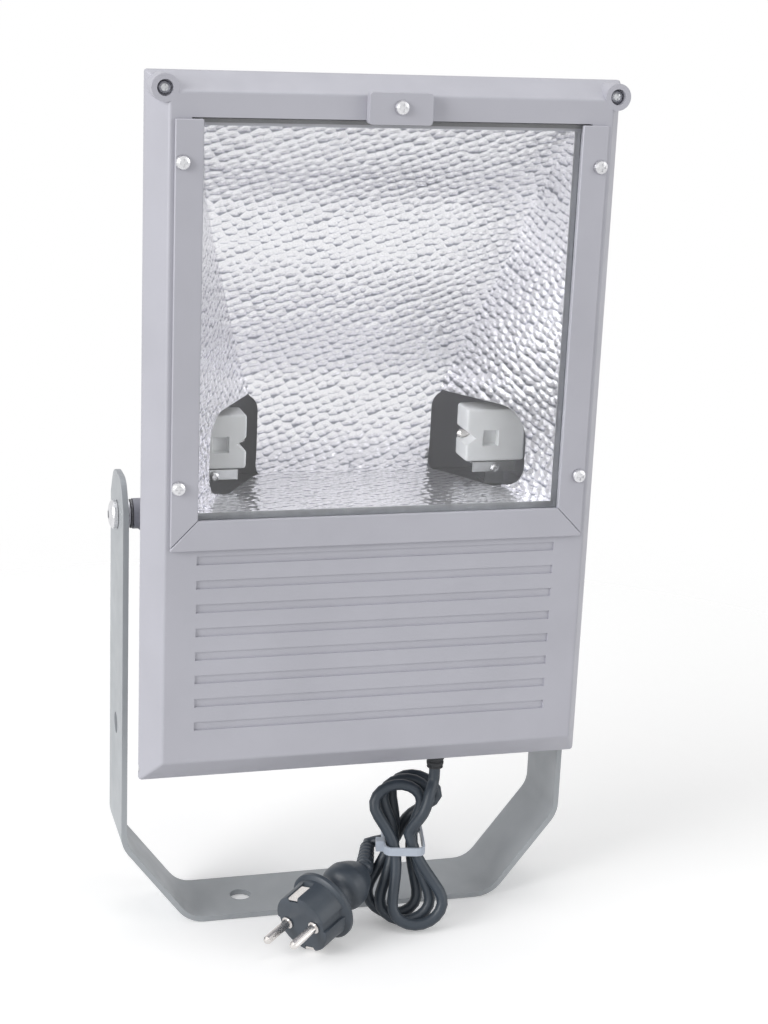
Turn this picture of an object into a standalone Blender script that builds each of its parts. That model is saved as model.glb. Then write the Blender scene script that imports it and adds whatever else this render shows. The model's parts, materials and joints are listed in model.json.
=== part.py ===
"""Asymmetric floodlight with a bent strap yoke, a hinged front cover and a tied mains cord.

Metres, +Z up. The origin is the centre of the underside of the yoke's base. The front faces -Y.
The head tilts in the yoke about the pivot axis, which runs along X. The front cover swings down
about a second axis along X, near its lower edge. Left and right are the viewer's, from the front.
"""
import math

import bmesh
import bpy
import numpy as np
from mathutils import Matrix, Vector

# General fits
GAP = 0.0003                     # between pieces that touch
HOLE_PLAY = 0.0003               # round a pin or a shank, all the way round

# Yoke, one flat strap
STRAP_WIDTH = 0.044
STRAP_THICKNESS = 0.003
YOKE_HALF_WIDTH = 0.1222         # to the outer face of an arm
BASE_HALF_LENGTH = 0.0856        # where the base turns up
CORNER_HEIGHT = 0.0475           # where the slanted part turns into the arm
BEND_RADIUS = 0.018              # outer radius of the four bends
PIVOT_HEIGHT = 0.2241
ARM_END_RISE = 0.0219            # from the pivot to the top of the arm
ARM_END_SLOPE = 0.015            # height of the slanted corners of the arm's end
BASE_HOLE_SPACING = 0.106
BASE_HOLE_DIAMETER = 0.0117
ARM_HOLE_HEIGHT = 0.1095
ARM_HOLE_DIAMETER = 0.0112

# Pivot
BOLT_DIAMETER = 0.0078
BOLT_HEAD_DIAMETER = 0.0148
BOLT_HEAD_HEIGHT = 0.0042
BOLT_SOCKET_WIDTH = 0.005
BOLT_REACH = 0.028               # length of the shank below the head
LOCK_WASHER_THICKNESS = 0.0012
FLAT_WASHER_THICKNESS = 0.0014
DISC_THICKNESS = 0.001
WASHER_DIAMETER = 0.015
BOSS_DIAMETER = 0.0157
WASHER_TEETH = 14

# Front cover, a cast frame
COVER_WIDTH = 0.235
COVER_HEIGHT = 0.3539
COVER_DROP = 0.1271              # from the pivot down to the cover's lower edge
FACE_REACH = 0.0644              # from the pivot forward to the cover's face
COVER_DEPTH = 0.0192
COVER_LIP = 0.0033               # straight part of the skirt behind the slopes
COVER_WALL = 0.0025
SIDE_SLOPE = 0.0091
TOP_SLOPE = 0.0085
BOTTOM_SLOPE = 0.0145
RIB_COUNT = 8
RIB_PITCH = 0.01237
RIB_HEIGHT = 0.0045
RIB_DEPTH = 0.001
RIB_LENGTH = 0.185
RIB_START = 0.0318               # first rib's lower edge above the cover's lower edge

# Window, glass and its strips
OPENING_WIDTH = 0.1898
OPENING_FOOT = 0.1393            # opening's lower edge above the cover's lower edge
OPENING_HEIGHT = 0.1905
GLASS_THICKNESS = 0.004
GLASS_LAP = 0.0028               # glass beyond the opening on each side and below
GLASS_TOP_LAP = 0.0037
GASKET_THICKNESS = 0.001
GASKET_WIDTH = 0.0022
SEAT_THICKNESS = 0.002
STRIP_THICKNESS = 0.0022
STRIP_WIDTH = 0.0134
STRIP_LAP = 0.0023               # strips over the opening's edge, towards its middle
RAIL_HEIGHT = 0.0154
MITRE_RISE = 0.0138
STILE_SCREW_INSET = 0.0036       # from the stile's outer edge to its screws
STILE_SCREW_TOP = 0.0197         # from the stile's top to the upper screw
STILE_SCREW_SPACING = 0.1551
CLIP_WIDTH = 0.031
CLIP_HEIGHT = 0.0149
CLIP_THICKNESS = 0.0053
CLIP_LAP = 0.0013                # clip over the glass's top edge

# Screws
PAN_DIAMETER = 0.007
PAN_HEIGHT = 0.0025
SCREW_DIAMETER = 0.0034
COVER_SCREW_DIAMETER = 0.004
COVER_SCREW_HEAD = 0.0062
COVER_SCREW_SINK = 0.0019        # cover screw's head below the face
COVER_SCREW_LENGTH = 0.022
COVER_SCREW_INSET = 0.0071       # from the cover's side and top edges
CORNER_BOSS_DIAMETER = 0.013
COUNTERBORE_DEPTH = 0.0044
SLOT_WIDTH = 0.0011
SLOT_DEPTH = 0.0009

# Cover hinge
HINGE_RISE = 0.006               # above the cover's lower edge
HINGE_SET_IN = 0.0018            # in front of the skirt's rear edge
HINGE_PIN_DIAMETER = 0.0035
HINGE_LUG_WIDTH = 0.007
HINGE_LUG_LENGTH = 0.0092
HINGE_LUG_INSET = 0.0065         # lug's outer end inside the cover's side

# Housing, a cast tub
HOUSING_WALL = 0.0025
HOUSING_SIDE_INSET = 0.0113      # inside the cover's side edge
HOUSING_TOP_INSET = 0.0109
HOUSING_BOTTOM_INSET = 0.017
HOUSING_DRAFT = 0.045            # side walls lean in by this share of the depth
SEAL_THICKNESS = 0.0014
SEAL_WIDTH = 0.0038
GEAR_DEPTH = 0.042               # rear wall behind the pivot axis, over the gear space
HOUSING_SHOULDER = 0.038         # above the optic level, where the rear wall starts to lean forward
HOUSING_CREST_BACK = 0.034       # top of the leaning wall in front of the pivot axis
HOUSING_CREST_DROP = 0.012
FIN_COUNT = 9
FIN_PITCH = 0.02
FIN_THICKNESS = 0.0022
FIN_HEIGHT = 0.007
EAR_DIAMETER = 0.0104
EAR_LENGTH = 0.0085
LEDGE_DEPTH = 0.004

# Reflectors: the line where the main sheet meets a side sheet, as distances in front of (-) or
# behind (+) the pivot axis, above the optic level, and out from the middle
OPTIC_DROP = 0.0122              # from the opening's lower edge down to the optic level
REFLECTOR_LINE = (
    (-0.0550, 0.2040, 0.0915),
    (-0.0416, 0.1844, 0.0874),
    (-0.0234, 0.1616, 0.0830),
    (-0.0145, 0.1297, 0.0743),
    (-0.0019, 0.1040, 0.0665),
    (0.0103, 0.0755, 0.0576),
    (0.0128, 0.0598, 0.0523),
    (0.0133, 0.0319, 0.0520),
    (0.0150, 0.0195, 0.0510),
)
REFLECTOR_FRONT_HALF = 0.0919    # half width of the reflector's mouth
REFLECTOR_MOUTH = -0.0556        # mouth's plane, from the pivot axis
REFLECTOR_FOOT = 0.0157          # floor's front edge above the optic level
FLOOR_BACK_RISE = 0.0175         # floor's back edge above the optic level
SHEET_THICKNESS = 0.0008
CUTOUT_TOP = 0.0592              # socket cut-out in the side sheets, above the optic level
CUTOUT_FRONT = -0.0393
CUTOUT_RADIUS = 0.013

# Lamp sockets for a double-ended lamp
SOCKET_GAP = 0.1172              # between the two ceramic blocks
SOCKET_LENGTH = 0.0325
SOCKET_DEPTH = 0.0187
SOCKET_HEIGHT = 0.0282
SOCKET_FRONT = -0.0149
SOCKET_FOOT = 0.0263             # block's underside above the optic level
SOCKET_WINDOW = 0.0084
SOCKET_WINDOW_INSET = 0.0134     # window's middle from the block's inner face
SOCKET_WINDOW_DEPTH = 0.005
SOCKET_NOTCH_DEPTH = 0.0052
SOCKET_NOTCH_HEIGHT = 0.0092
CONTACT_DIAMETER = 0.0042
CONTACT_LENGTH = 0.014
CONTACT_REACH = 0.0015           # contact's tip beyond the block
CONTACT_SET_BACK = 0.0125        # contact's axis behind the block's front
BRACKET_THICKNESS = 0.0012
BRACKET_FLANGE = 0.0052
BRACKET_LEG_WIDTH = 0.0105
BRACKET_SCREW_HEAD = 0.005

# Partition, gear tray and control gear
PARTITION_RISE = 0.0089          # partition's top above the optic level
PARTITION_THICKNESS = 0.0015
TRAY_THICKNESS = 0.0015
TRAY_FLANGE = 0.012
CORE_WIDTH = 0.06
CORE_DEPTH = 0.046
CORE_HEIGHT = 0.062
CORE_LIMB = 0.02                 # width of the middle limb
CORE_YOKE = 0.01                 # thickness of the core round its windows
CORE_BACK = 0.028                # core's rear face behind the pivot axis
COIL_WALL = 0.0088
COIL_PLAY = 0.0005
BALLAST_OFFSET = -0.022          # ballast's middle, sideways
IGNITOR_SIZE = (0.034, 0.03, 0.058)
IGNITOR_OFFSET = 0.074
CAPACITOR_DIAMETER = 0.03
CAPACITOR_LENGTH = 0.062
CAPACITOR_OFFSET = -0.078
CLAMP_THICKNESS = 0.0012
CLAMP_WIDTH = 0.012
TERMINAL_SIZE = (0.05, 0.016, 0.018)
TERMINAL_OFFSET = (0.04, 0.026)
TERMINAL_POLES = 5

# Gland and mains cord
CORD_DIAMETER = 0.0061
GLAND_X = 0.0448
GLAND_Y = -0.034
GLAND_THREAD = 0.016
GLAND_FLATS = 0.019
GLAND_HEAD = 0.0045
RELIEF_LENGTH = 0.0225
RELIEF_TOP_DIAMETER = 0.0125
RELIEF_TIP_DIAMETER = 0.0088
CORD_FIT = 0.0002                # cord in its relief

# Tied hank of the cord: loops in upright layers, drawn in at the tie
HANK_LOOPS = 3
HANK_POINTS_PER_LOOP = 24
HANK_WAIST = (0.0300, -0.0295)    # tie's middle on the ground plan
HANK_RISE = 0.034                # from the tie to the upper folds, along the hank
HANK_FALL = 0.042                # from the tie to the lower folds
HANK_FOLD_RADIUS = 0.0150
HANK_WAIST_HALF = 0.005          # half the distance between the runs at the tie
HANK_STEP = 0.0072               # from one layer to the next
HANK_LEAN = math.radians(20)
HANK_TURN = math.radians(12)
HANK_FAN = math.radians(12)       # from one loop to the next
HANK_EXIT = -0.001               # where the last run leaves the tie, across
HANK_EXIT_SHARE = 0.16           # share of the last loop in which its run crosses over
HANK_CLIMB_START = 0.84          # share of each loop after which the cord goes to the next layer
FLOOR_CLEARANCE = 0.0004
TIE_WIDTH = 0.0045
TIE_THICKNESS = 0.0012
TIE_PLAY = 0.0004

# Earthed plug, lying on the floor
PLUG_FLANGE_CENTRE = (-0.0217, -0.0576, 0.0213)
PLUG_DIRECTION = (-0.780, -0.575, -0.243)
PIN_DIRECTION = (0.535, -0.817, 0.2155)
PLUG_FACE_REACH = 0.0165
PLUG_FACE_DIAMETER = 0.0335
PLUG_FLANGE_DIAMETER = 0.0388
PLUG_FLANGE_THICKNESS = 0.0035
PLUG_GRIP_LENGTH = 0.029
PLUG_GRIP_DIAMETER = 0.026
PLUG_NECK_DIAMETER = 0.0165
PIN_DIAMETER = 0.0048
PIN_LENGTH = 0.019
PIN_SPACING = 0.019
PIN_ROOT = 0.006                 # length of a pin inside the body
PIN_COLLAR_DIAMETER = 0.0068
PIN_COLLAR_LENGTH = 0.0012
EARTH_CLIP_WIDTH = 0.0065
EARTH_CLIP_THICKNESS = 0.0016
EARTH_CLIP_LENGTH = 0.0115
PLUG_RELIEF_END = (0.0138, -0.0170, 0.0335)
PLUG_RELIEF_TIP_DIAMETER = 0.0079
PLUG_RELIEF_ROOT_DIAMETER = 0.0108
PLUG_RELIEF_BEND = 0.12          # share of its length over which it leaves the grip straight

# Places that follow from the sizes above
ARM_INNER = YOKE_HALF_WIDTH - STRAP_THICKNESS
WASHER_STACK = LOCK_WASHER_THICKNESS + FLAT_WASHER_THICKNESS + DISC_THICKNESS + 4 * GAP
BOSS_END = ARM_INNER - WASHER_STACK
COVER_BOTTOM = PIVOT_HEIGHT - COVER_DROP
COVER_TOP = COVER_BOTTOM + COVER_HEIGHT
COVER_HALF = COVER_WIDTH / 2
FACE_Y = -FACE_REACH
SKIRT_Y = FACE_Y + COVER_DEPTH
PLATE_Y = FACE_Y + COVER_WALL
SEAL_Y = PLATE_Y + GAP
RIM_Y = SEAL_Y + SEAL_THICKNESS + GAP
HOUSING_HALF = COVER_HALF - HOUSING_SIDE_INSET
HOUSING_TOP = COVER_TOP - HOUSING_TOP_INSET
HOUSING_BOTTOM = COVER_BOTTOM + HOUSING_BOTTOM_INSET
HINGE_Y = SKIRT_Y - HINGE_SET_IN
HINGE_Z = COVER_BOTTOM + HINGE_RISE
OPENING_BOTTOM = COVER_BOTTOM + OPENING_FOOT
OPENING_TOP = OPENING_BOTTOM + OPENING_HEIGHT
OPENING_HALF = OPENING_WIDTH / 2
GLASS_HALF = OPENING_HALF + GLASS_LAP
GLASS_BOTTOM = OPENING_BOTTOM - GLASS_LAP
GLASS_TOP = OPENING_TOP + GLASS_TOP_LAP
GASKET_Y = FACE_Y + GLASS_THICKNESS + GAP
SEAT_Y = GASKET_Y + GASKET_THICKNESS + GAP
STRIP_Y = FACE_Y - GAP - STRIP_THICKNESS / 2
STRIP_INNER = OPENING_HALF - STRIP_LAP
STRIP_OUTER = STRIP_INNER + STRIP_WIDTH
RAIL_TOP = OPENING_BOTTOM + STRIP_LAP
RAIL_BOTTOM = RAIL_TOP - RAIL_HEIGHT
OPTIC_Z = OPENING_BOTTOM - OPTIC_DROP
PARTITION_TOP = OPTIC_Z + PARTITION_RISE
TRAY_TOP = HOUSING_BOTTOM + HOUSING_WALL + GAP + TRAY_THICKNESS
GEAR_FLOOR = TRAY_TOP + GAP
SOCKET_INNER = SOCKET_GAP / 2
CORD_RADIUS = CORD_DIAMETER / 2

# Finishes: colour, metallic value and roughness
FINISHES = {
    "silver_paint": ((0.42, 0.42, 0.47), 0.35, 0.42),
    "grey_paint": ((0.40, 0.42, 0.44), 0.3, 0.5),
    "zinc": ((0.72, 0.72, 0.74), 0.9, 0.32),
    "dark_steel": ((0.16, 0.16, 0.17), 0.8, 0.45),
    "hammered": ((0.86, 0.87, 0.89), 1.0, 0.2),
    "bare_sheet": ((0.62, 0.63, 0.65), 0.9, 0.4),
    "glass": ((0.82, 0.92, 0.9), 0.0, 0.04),
    "ceramic": ((0.84, 0.84, 0.87), 0.0, 0.45),
    "black_rubber": ((0.03, 0.032, 0.036), 0.0, 0.6),
    "grey_rubber": ((0.18, 0.18, 0.19), 0.0, 0.8),
    "cord": ((0.03, 0.036, 0.045), 0.0, 0.5),
    "plug": ((0.035, 0.042, 0.05), 0.0, 0.42),
    "tie": ((0.45, 0.5, 0.58), 0.0, 0.45),
    "laminations": ((0.2, 0.2, 0.21), 0.7, 0.55),
    "copper": ((0.55, 0.26, 0.14), 0.6, 0.5),
    "pale_plastic": ((0.68, 0.68, 0.64), 0.0, 0.5),
    "nickel": ((0.72, 0.68, 0.66), 1.0, 0.22),
}

COLLECTION = bpy.data.collections.new("asymmetric_floodlight")
CUTTERS = bpy.data.collections.new("cutters")


def clear_scene():
    for item in list(bpy.data.objects):
        bpy.data.objects.remove(item, do_unlink=True)
    bpy.context.scene.collection.children.link(COLLECTION)
    bpy.context.scene.collection.children.link(CUTTERS)


def finish_material(name, colour, metallic, roughness):
    material = bpy.data.materials.new(name)
    material.use_nodes = True
    shader = material.node_tree.nodes["Principled BSDF"]
    shader.inputs["Base Color"].default_value = (*colour, 1.0)
    shader.inputs["Metallic"].default_value = metallic
    shader.inputs["Roughness"].default_value = roughness
    return material


def make_part(item, finish, parent=None):
    """Put a solid in the part's collection, give it its own material and its parent."""
    for home in list(item.users_collection):
        home.objects.unlink(item)
    COLLECTION.objects.link(item)
    item.data.materials.clear()
    item.data.materials.append(finish_material(item.name, *FINISHES[finish]))
    item.data.shade_smooth()
    item.data.set_sharp_from_angle(angle=math.radians(35))
    if parent is not None:
        item.parent = parent
        item.matrix_parent_inverse = Matrix.Translation(parent.location).inverted()
    return item


def new_mesh_object(name, bm):
    mesh = bpy.data.meshes.new(name)
    bm.to_mesh(mesh)
    bm.free()
    item = bpy.data.objects.new(name, mesh)
    CUTTERS.objects.link(item)
    return item


def box(name, low, high):
    """A block between two corners, with its origin at its middle."""
    size = [b - a for a, b in zip(low, high)]
    bm = bmesh.new()
    bmesh.ops.create_cube(bm, size=1.0)
    bmesh.ops.scale(bm, vec=size, verts=bm.verts)
    item = new_mesh_object(name, bm)
    item.location = [(a + b) / 2 for a, b in zip(low, high)]
    return item


def axis_matrix(place, direction, across=None):
    """Place and turn a shape made round +Z so that it points along a direction."""
    up = Vector(direction).normalized()
    side = Vector(across) if across is not None else up.orthogonal()
    side = (side - up * side.dot(up)).normalized()
    turn = Matrix((side, up.cross(side), up)).transposed()
    return Matrix.Translation(Vector(place)) @ turn.to_4x4()


def cylinder(name, diameter, start, end, sides=24):
    bm = bmesh.new()
    run = Vector(end) - Vector(start)
    radius = diameter / 2
    bmesh.ops.create_cone(bm, cap_ends=True, segments=sides, radius1=radius, radius2=radius,
                          depth=run.length)
    item = new_mesh_object(name, bm)
    item.matrix_world = axis_matrix((Vector(start) + Vector(end)) / 2, run)
    return item


def lathe(name, profile, matrix, sides=24):
    """Turn a profile of (radius, height) pairs, top to bottom, once round +Z."""
    bm = bmesh.new()
    closed = profile[0] == profile[-1]
    stations = profile[:-1] if closed else profile
    points = [bm.verts.new((radius, 0.0, height)) for radius, height in stations]
    for first, second in zip(points, points[1:] + (points[:1] if closed else [])):
        bm.edges.new((first, second))
    item = new_mesh_object(name, bm)
    item.matrix_world = matrix
    turn = item.modifiers.new("turn", "SCREW")
    turn.steps = sides
    turn.render_steps = sides
    turn.use_merge_vertices = True
    turn.merge_threshold = 0.00001
    return item


def rounded(corners, radius, steps=4):
    """Outline with each corner rounded; a radius can be one value or one for each corner."""
    radii = radius if isinstance(radius, (list, tuple)) else [radius] * len(corners)
    outline = []
    for index, (corner, size) in enumerate(zip(corners, radii)):
        here = Vector(corner)
        back = (Vector(corners[index - 1]) - here).normalized()
        ahead = (Vector(corners[(index + 1) % len(corners)]) - here).normalized()
        if size <= 0:
            outline.append(tuple(here))
            continue
        half_angle = back.angle(ahead) / 2
        reach = size / math.tan(half_angle)
        centre = here + (back + ahead).normalized() * (size / math.sin(half_angle))
        first = here + back * reach - centre
        last = here + ahead * reach - centre
        sweep = math.atan2(first.x * last.y - first.y * last.x, first.dot(last))
        for step in range(steps + 1):
            spin = Matrix.Rotation(sweep * step / steps, 2)
            outline.append(tuple(centre + spin @ first))
    return outline


def rectangle(low, high):
    return [(low[0], low[1]), (high[0], low[1]), (high[0], high[1]), (low[0], high[1])]


def ring(centre, diameter, sides=24):
    angles = [2 * math.pi * index / sides for index in range(sides)]
    return [(centre[0] + diameter / 2 * math.cos(angle), centre[1] + diameter / 2 * math.sin(angle))
            for angle in angles]


def curve_to_mesh(item):
    """Turn a curve object into a mesh object of the same name, with its caps welded."""
    bpy.context.view_layer.update()
    graph = bpy.context.evaluated_depsgraph_get()
    mesh = bpy.data.meshes.new_from_object(item.evaluated_get(graph))
    bm = bmesh.new()
    bm.from_mesh(mesh)
    bmesh.ops.remove_doubles(bm, verts=bm.verts, dist=0.00001)
    bmesh.ops.recalc_face_normals(bm, faces=bm.faces)
    bm.to_mesh(mesh)
    bm.free()
    name = item.name
    place = item.matrix_world.copy()
    bpy.data.objects.remove(item, do_unlink=True)
    solid = bpy.data.objects.new(name, mesh)
    CUTTERS.objects.link(solid)
    solid.matrix_world = place
    return solid


def plate(name, outlines, thickness, matrix):
    """A flat plate: the first outline is its edge, the others are holes."""
    curve = bpy.data.curves.new(name, "CURVE")
    curve.dimensions = "2D"
    curve.fill_mode = "BOTH"
    curve.extrude = thickness / 2
    for outline in outlines:
        spline = curve.splines.new("POLY")
        spline.points.add(len(outline) - 1)
        for point, (across, along) in zip(spline.points, outline):
            point.co = (across, along, 0.0, 1.0)
        spline.use_cyclic_u = True
    item = bpy.data.objects.new(name, curve)
    CUTTERS.objects.link(item)
    item.matrix_world = matrix
    return curve_to_mesh(item)


# A plate drawn in X and Z, seen from the front, with its thickness along Y
UPRIGHT = Matrix.Rotation(math.radians(90), 4, "X")
# A plate drawn in Y and Z, seen from the right, with its thickness along X
SIDEWAYS = Matrix(((0, 0, 1, 0), (1, 0, 0, 0), (0, 1, 0, 0), (0, 0, 0, 1)))


def front_plate(name, outlines, thickness, middle_y):
    return plate(name, outlines, thickness, Matrix.Translation((0, middle_y, 0)) @ UPRIGHT)


def side_plate(name, outlines, thickness, middle_x):
    return plate(name, outlines, thickness, Matrix.Translation((middle_x, 0, 0)) @ SIDEWAYS)


def level_plate(name, outlines, thickness, middle_z):
    return plate(name, outlines, thickness, Matrix.Translation((0, 0, middle_z)))


def combine(item, other, operation):
    change = item.modifiers.new(operation.lower(), "BOOLEAN")
    change.operation = operation
    change.object = other
    other.hide_render = True
    other.display_type = "WIRE"


def cut(item, *cutters):
    for cutter in cutters:
        combine(item, cutter, "DIFFERENCE")


def join(item, *others):
    for other in others:
        combine(item, other, "UNION")


def bevel(item, width, segments=2, angle=30):
    change = item.modifiers.new("bevel", "BEVEL")
    change.width = width
    change.segments = segments
    change.limit_method = "ANGLE"
    change.angle_limit = math.radians(angle)
    return item


def tube(name, points, diameter, resolution):
    """A round cord through the given points, with flat ends."""
    curve = bpy.data.curves.new(name, "CURVE")
    curve.dimensions = "3D"
    curve.bevel_depth = diameter / 2
    curve.bevel_resolution = resolution
    curve.use_fill_caps = True
    spline = curve.splines.new("POLY")
    spline.points.add(len(points) - 1)
    for point, place in zip(spline.points, points):
        point.co = (*place, 1.0)
    item = bpy.data.objects.new(name, curve)
    CUTTERS.objects.link(item)
    return curve_to_mesh(item)


def smooth_path(route, spacing):
    """Points at about equal spacing on a smooth curve through the route, with straight ends."""
    knots = [np.array(point, float) for point in route]
    dense = []
    for before, start, end, after in zip(knots, knots[1:], knots[2:], knots[3:]):
        for step in range(20):
            t = step / 20
            dense.append(0.5 * (2 * start + (end - before) * t
                                + (2 * before - 5 * start + 4 * end - after) * t ** 2
                                + (3 * start - before - 3 * end + after) * t ** 3))
    dense.append(knots[-2])
    dense = np.array(dense)
    run = np.concatenate(([0.0], np.cumsum(np.linalg.norm(np.diff(dense, axis=0), axis=1))))
    count = max(3, round(run[-1] / spacing) + 1)
    marks = np.linspace(0.0, run[-1], count)
    middle = np.stack([np.interp(marks, run, dense[:, axis]) for axis in range(3)], axis=1)
    return np.concatenate(([knots[0]], middle, [knots[-1]]))


def path_length(points):
    return float(np.linalg.norm(np.diff(np.array(points), axis=0), axis=1).sum())


def sides():
    """Left and right: a name and the sign of X."""
    return (("left", -1), ("right", 1))


def make_yoke():
    corners = [(-YOKE_HALF_WIDTH, CORNER_HEIGHT), (-BASE_HALF_LENGTH, 0.0),
               (BASE_HALF_LENGTH, 0.0), (YOKE_HALF_WIDTH, CORNER_HEIGHT)]
    top = PIVOT_HEIGHT + ARM_END_RISE
    outline = rounded([(-YOKE_HALF_WIDTH, top)] + corners + [(YOKE_HALF_WIDTH, top)],
                      [0] + [BEND_RADIUS] * 4 + [0], steps=5)
    bm = bmesh.new()
    edge = [bm.verts.new((x, -STRAP_WIDTH / 2, z)) for x, z in outline]
    line = [bm.edges.new(pair) for pair in zip(edge, edge[1:])]
    swept = bmesh.ops.extrude_edge_only(bm, edges=line)["geom"]
    moved = [part for part in swept if isinstance(part, bmesh.types.BMVert)]
    bmesh.ops.translate(bm, vec=(0, STRAP_WIDTH, 0), verts=moved)
    yoke = new_mesh_object("yoke", bm)
    shell = yoke.modifiers.new("strap", "SOLIDIFY")
    shell.thickness = STRAP_THICKNESS
    shell.offset = -1.0
    shell.use_even_offset = True
    cut(yoke, *yoke_cutters(top))
    return make_part(yoke, "grey_paint")


def yoke_cutters(top):
    half = STRAP_WIDTH / 2
    shoulder = top - ARM_END_SLOPE
    beyond = half + 0.01
    crest = half * 0.55
    above = top + 0.01
    end_shape = rounded([(-beyond, above), (-beyond, shoulder), (-half, shoulder), (-crest, top),
                         (crest, top), (half, shoulder), (beyond, shoulder), (beyond, above)],
                        [0, 0, 0, crest, crest, 0, 0, 0])
    reach = YOKE_HALF_WIDTH + 0.01
    cutters = [side_plate("arm_end_cut", [end_shape], 2 * reach, 0.0)]
    for name, height, diameter in (("pivot_cut", PIVOT_HEIGHT, BOLT_DIAMETER + 2 * HOLE_PLAY),
                                   ("arm_cut", ARM_HOLE_HEIGHT, ARM_HOLE_DIAMETER)):
        cutters.append(cylinder(name, diameter, (-reach, 0, height), (reach, 0, height)))
    for name, sign in sides():
        x = sign * BASE_HOLE_SPACING / 2
        cutters.append(cylinder("base_cut_" + name, BASE_HOLE_DIAMETER, (x, 0, -0.01), (x, 0, 0.01)))
    return cutters


def make_pivot(name, sign, head):
    """Bolt through the arm, and the washers between the arm and the housing's boss."""
    outer = sign * (YOKE_HALF_WIDTH + GAP)
    matrix = axis_matrix((outer, 0, PIVOT_HEIGHT), (sign, 0, 0))
    radius = BOLT_HEAD_DIAMETER / 2
    dome = [(radius * math.sin(turn), BOLT_HEAD_HEIGHT * (0.45 + 0.55 * math.cos(turn)))
            for turn in (math.pi / 2 * step / 4 for step in range(5))]
    shank = BOLT_DIAMETER / 2
    profile = dome + [(radius, 0.0), (shank, 0.0), (shank, 0.0008 - BOLT_REACH),
                      (shank - 0.0008, -BOLT_REACH), (0.0, -BOLT_REACH)]
    bolt = lathe("pivot_bolt_" + name, profile, matrix)
    socket_end = outer + sign * (BOLT_HEAD_HEIGHT + 0.001)
    socket_start = outer + sign * BOLT_HEAD_HEIGHT * 0.4
    cut(bolt, cylinder("bolt_socket_" + name, BOLT_SOCKET_WIDTH, (socket_start, 0, PIVOT_HEIGHT),
                       (socket_end, 0, PIVOT_HEIGHT), sides=6))
    make_part(bolt, "zinc", head)
    place = ARM_INNER - GAP
    bore = BOLT_DIAMETER + 2 * HOLE_PLAY
    star = [((WASHER_DIAMETER / 2 - 0.0012 * (index % 2)) * math.cos(math.pi * index / WASHER_TEETH),
             (WASHER_DIAMETER / 2 - 0.0012 * (index % 2)) * math.sin(math.pi * index / WASHER_TEETH))
            for index in range(2 * WASHER_TEETH)]
    disc = ring((0, 0), WASHER_DIAMETER)
    for label, edge, thickness, finish in (
            ("lock_washer_", star, LOCK_WASHER_THICKNESS, "dark_steel"),
            ("flat_washer_", disc, FLAT_WASHER_THICKNESS, "zinc"),
            ("friction_disc_", disc, DISC_THICKNESS, "dark_steel")):
        outline = [[(y, z + PIVOT_HEIGHT) for y, z in edge], ring((0, PIVOT_HEIGHT), bore)]
        washer = side_plate(label + name, outline, thickness, sign * (place - thickness / 2))
        make_part(washer, finish, head)
        place -= thickness + GAP


def rear_wall_outline():
    """Side view of the housing, as (y, z) from its front bottom corner round to its front top."""
    shoulder = OPTIC_Z + HOUSING_SHOULDER
    return [(RIM_Y, HOUSING_BOTTOM), (GEAR_DEPTH - 0.006, HOUSING_BOTTOM),
            (GEAR_DEPTH, HOUSING_BOTTOM + 0.006), (GEAR_DEPTH, shoulder),
            (-HOUSING_CREST_BACK, HOUSING_TOP - HOUSING_CREST_DROP),
            (-HOUSING_CREST_BACK - 0.01, HOUSING_TOP), (RIM_Y, HOUSING_TOP)]


def draft(item):
    """Lean the side walls in towards the back."""
    for vertex in item.data.vertices:
        depth = (item.matrix_world @ vertex.co).y - RIM_Y
        vertex.co.z *= 1 - HOUSING_DRAFT * depth / HOUSING_HALF
    return item


def half_width_at(y, inset=0.0):
    """Half width inside the housing's walls at a depth y."""
    return HOUSING_HALF - HOUSING_DRAFT * (y - RIM_Y) - HOUSING_WALL - inset


def make_housing(head):
    shape = draft(side_plate("housing", [rear_wall_outline()], 2 * HOUSING_HALF, 0.0))
    bm = bmesh.new()
    bm.from_mesh(shape.data)
    mouth = [face for face in bm.faces
             if all((shape.matrix_world @ vertex.co).y < RIM_Y + 0.0001 for vertex in face.verts)]
    bmesh.ops.delete(bm, geom=mouth, context="FACES_ONLY")
    bm.to_mesh(shape.data)
    bm.free()
    bevel(shape, 0.003, 2, 25)
    shell = shape.modifiers.new("wall", "SOLIDIFY")
    shell.thickness = HOUSING_WALL
    shell.offset = -1.0
    shell.use_even_offset = True
    join(shape, *housing_additions())
    cut(shape, *housing_cutters())
    return make_part(shape, "silver_paint", head)


def housing_additions():
    shoulder = OPTIC_Z + HOUSING_SHOULDER
    back = Vector((GEAR_DEPTH, shoulder))
    crest = Vector((-HOUSING_CREST_BACK, HOUSING_TOP - HOUSING_CREST_DROP))
    slope = (crest - back).normalized()
    outward = Vector((slope.y, -slope.x))
    root = -HOUSING_WALL / 2
    low = back + slope * 0.012
    high = crest - slope * 0.008
    fin = [tuple(low + outward * root), tuple(low + outward * FIN_HEIGHT + slope * 0.006),
           tuple(high + outward * FIN_HEIGHT - slope * 0.006), tuple(high + outward * root)]
    added = []
    for index in range(FIN_COUNT):
        x = FIN_PITCH * (index - (FIN_COUNT - 1) / 2)
        added.append(side_plate("fin", [fin], FIN_THICKNESS, x))
    for name, sign in sides():
        added += side_additions(name, sign)
    return added


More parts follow.
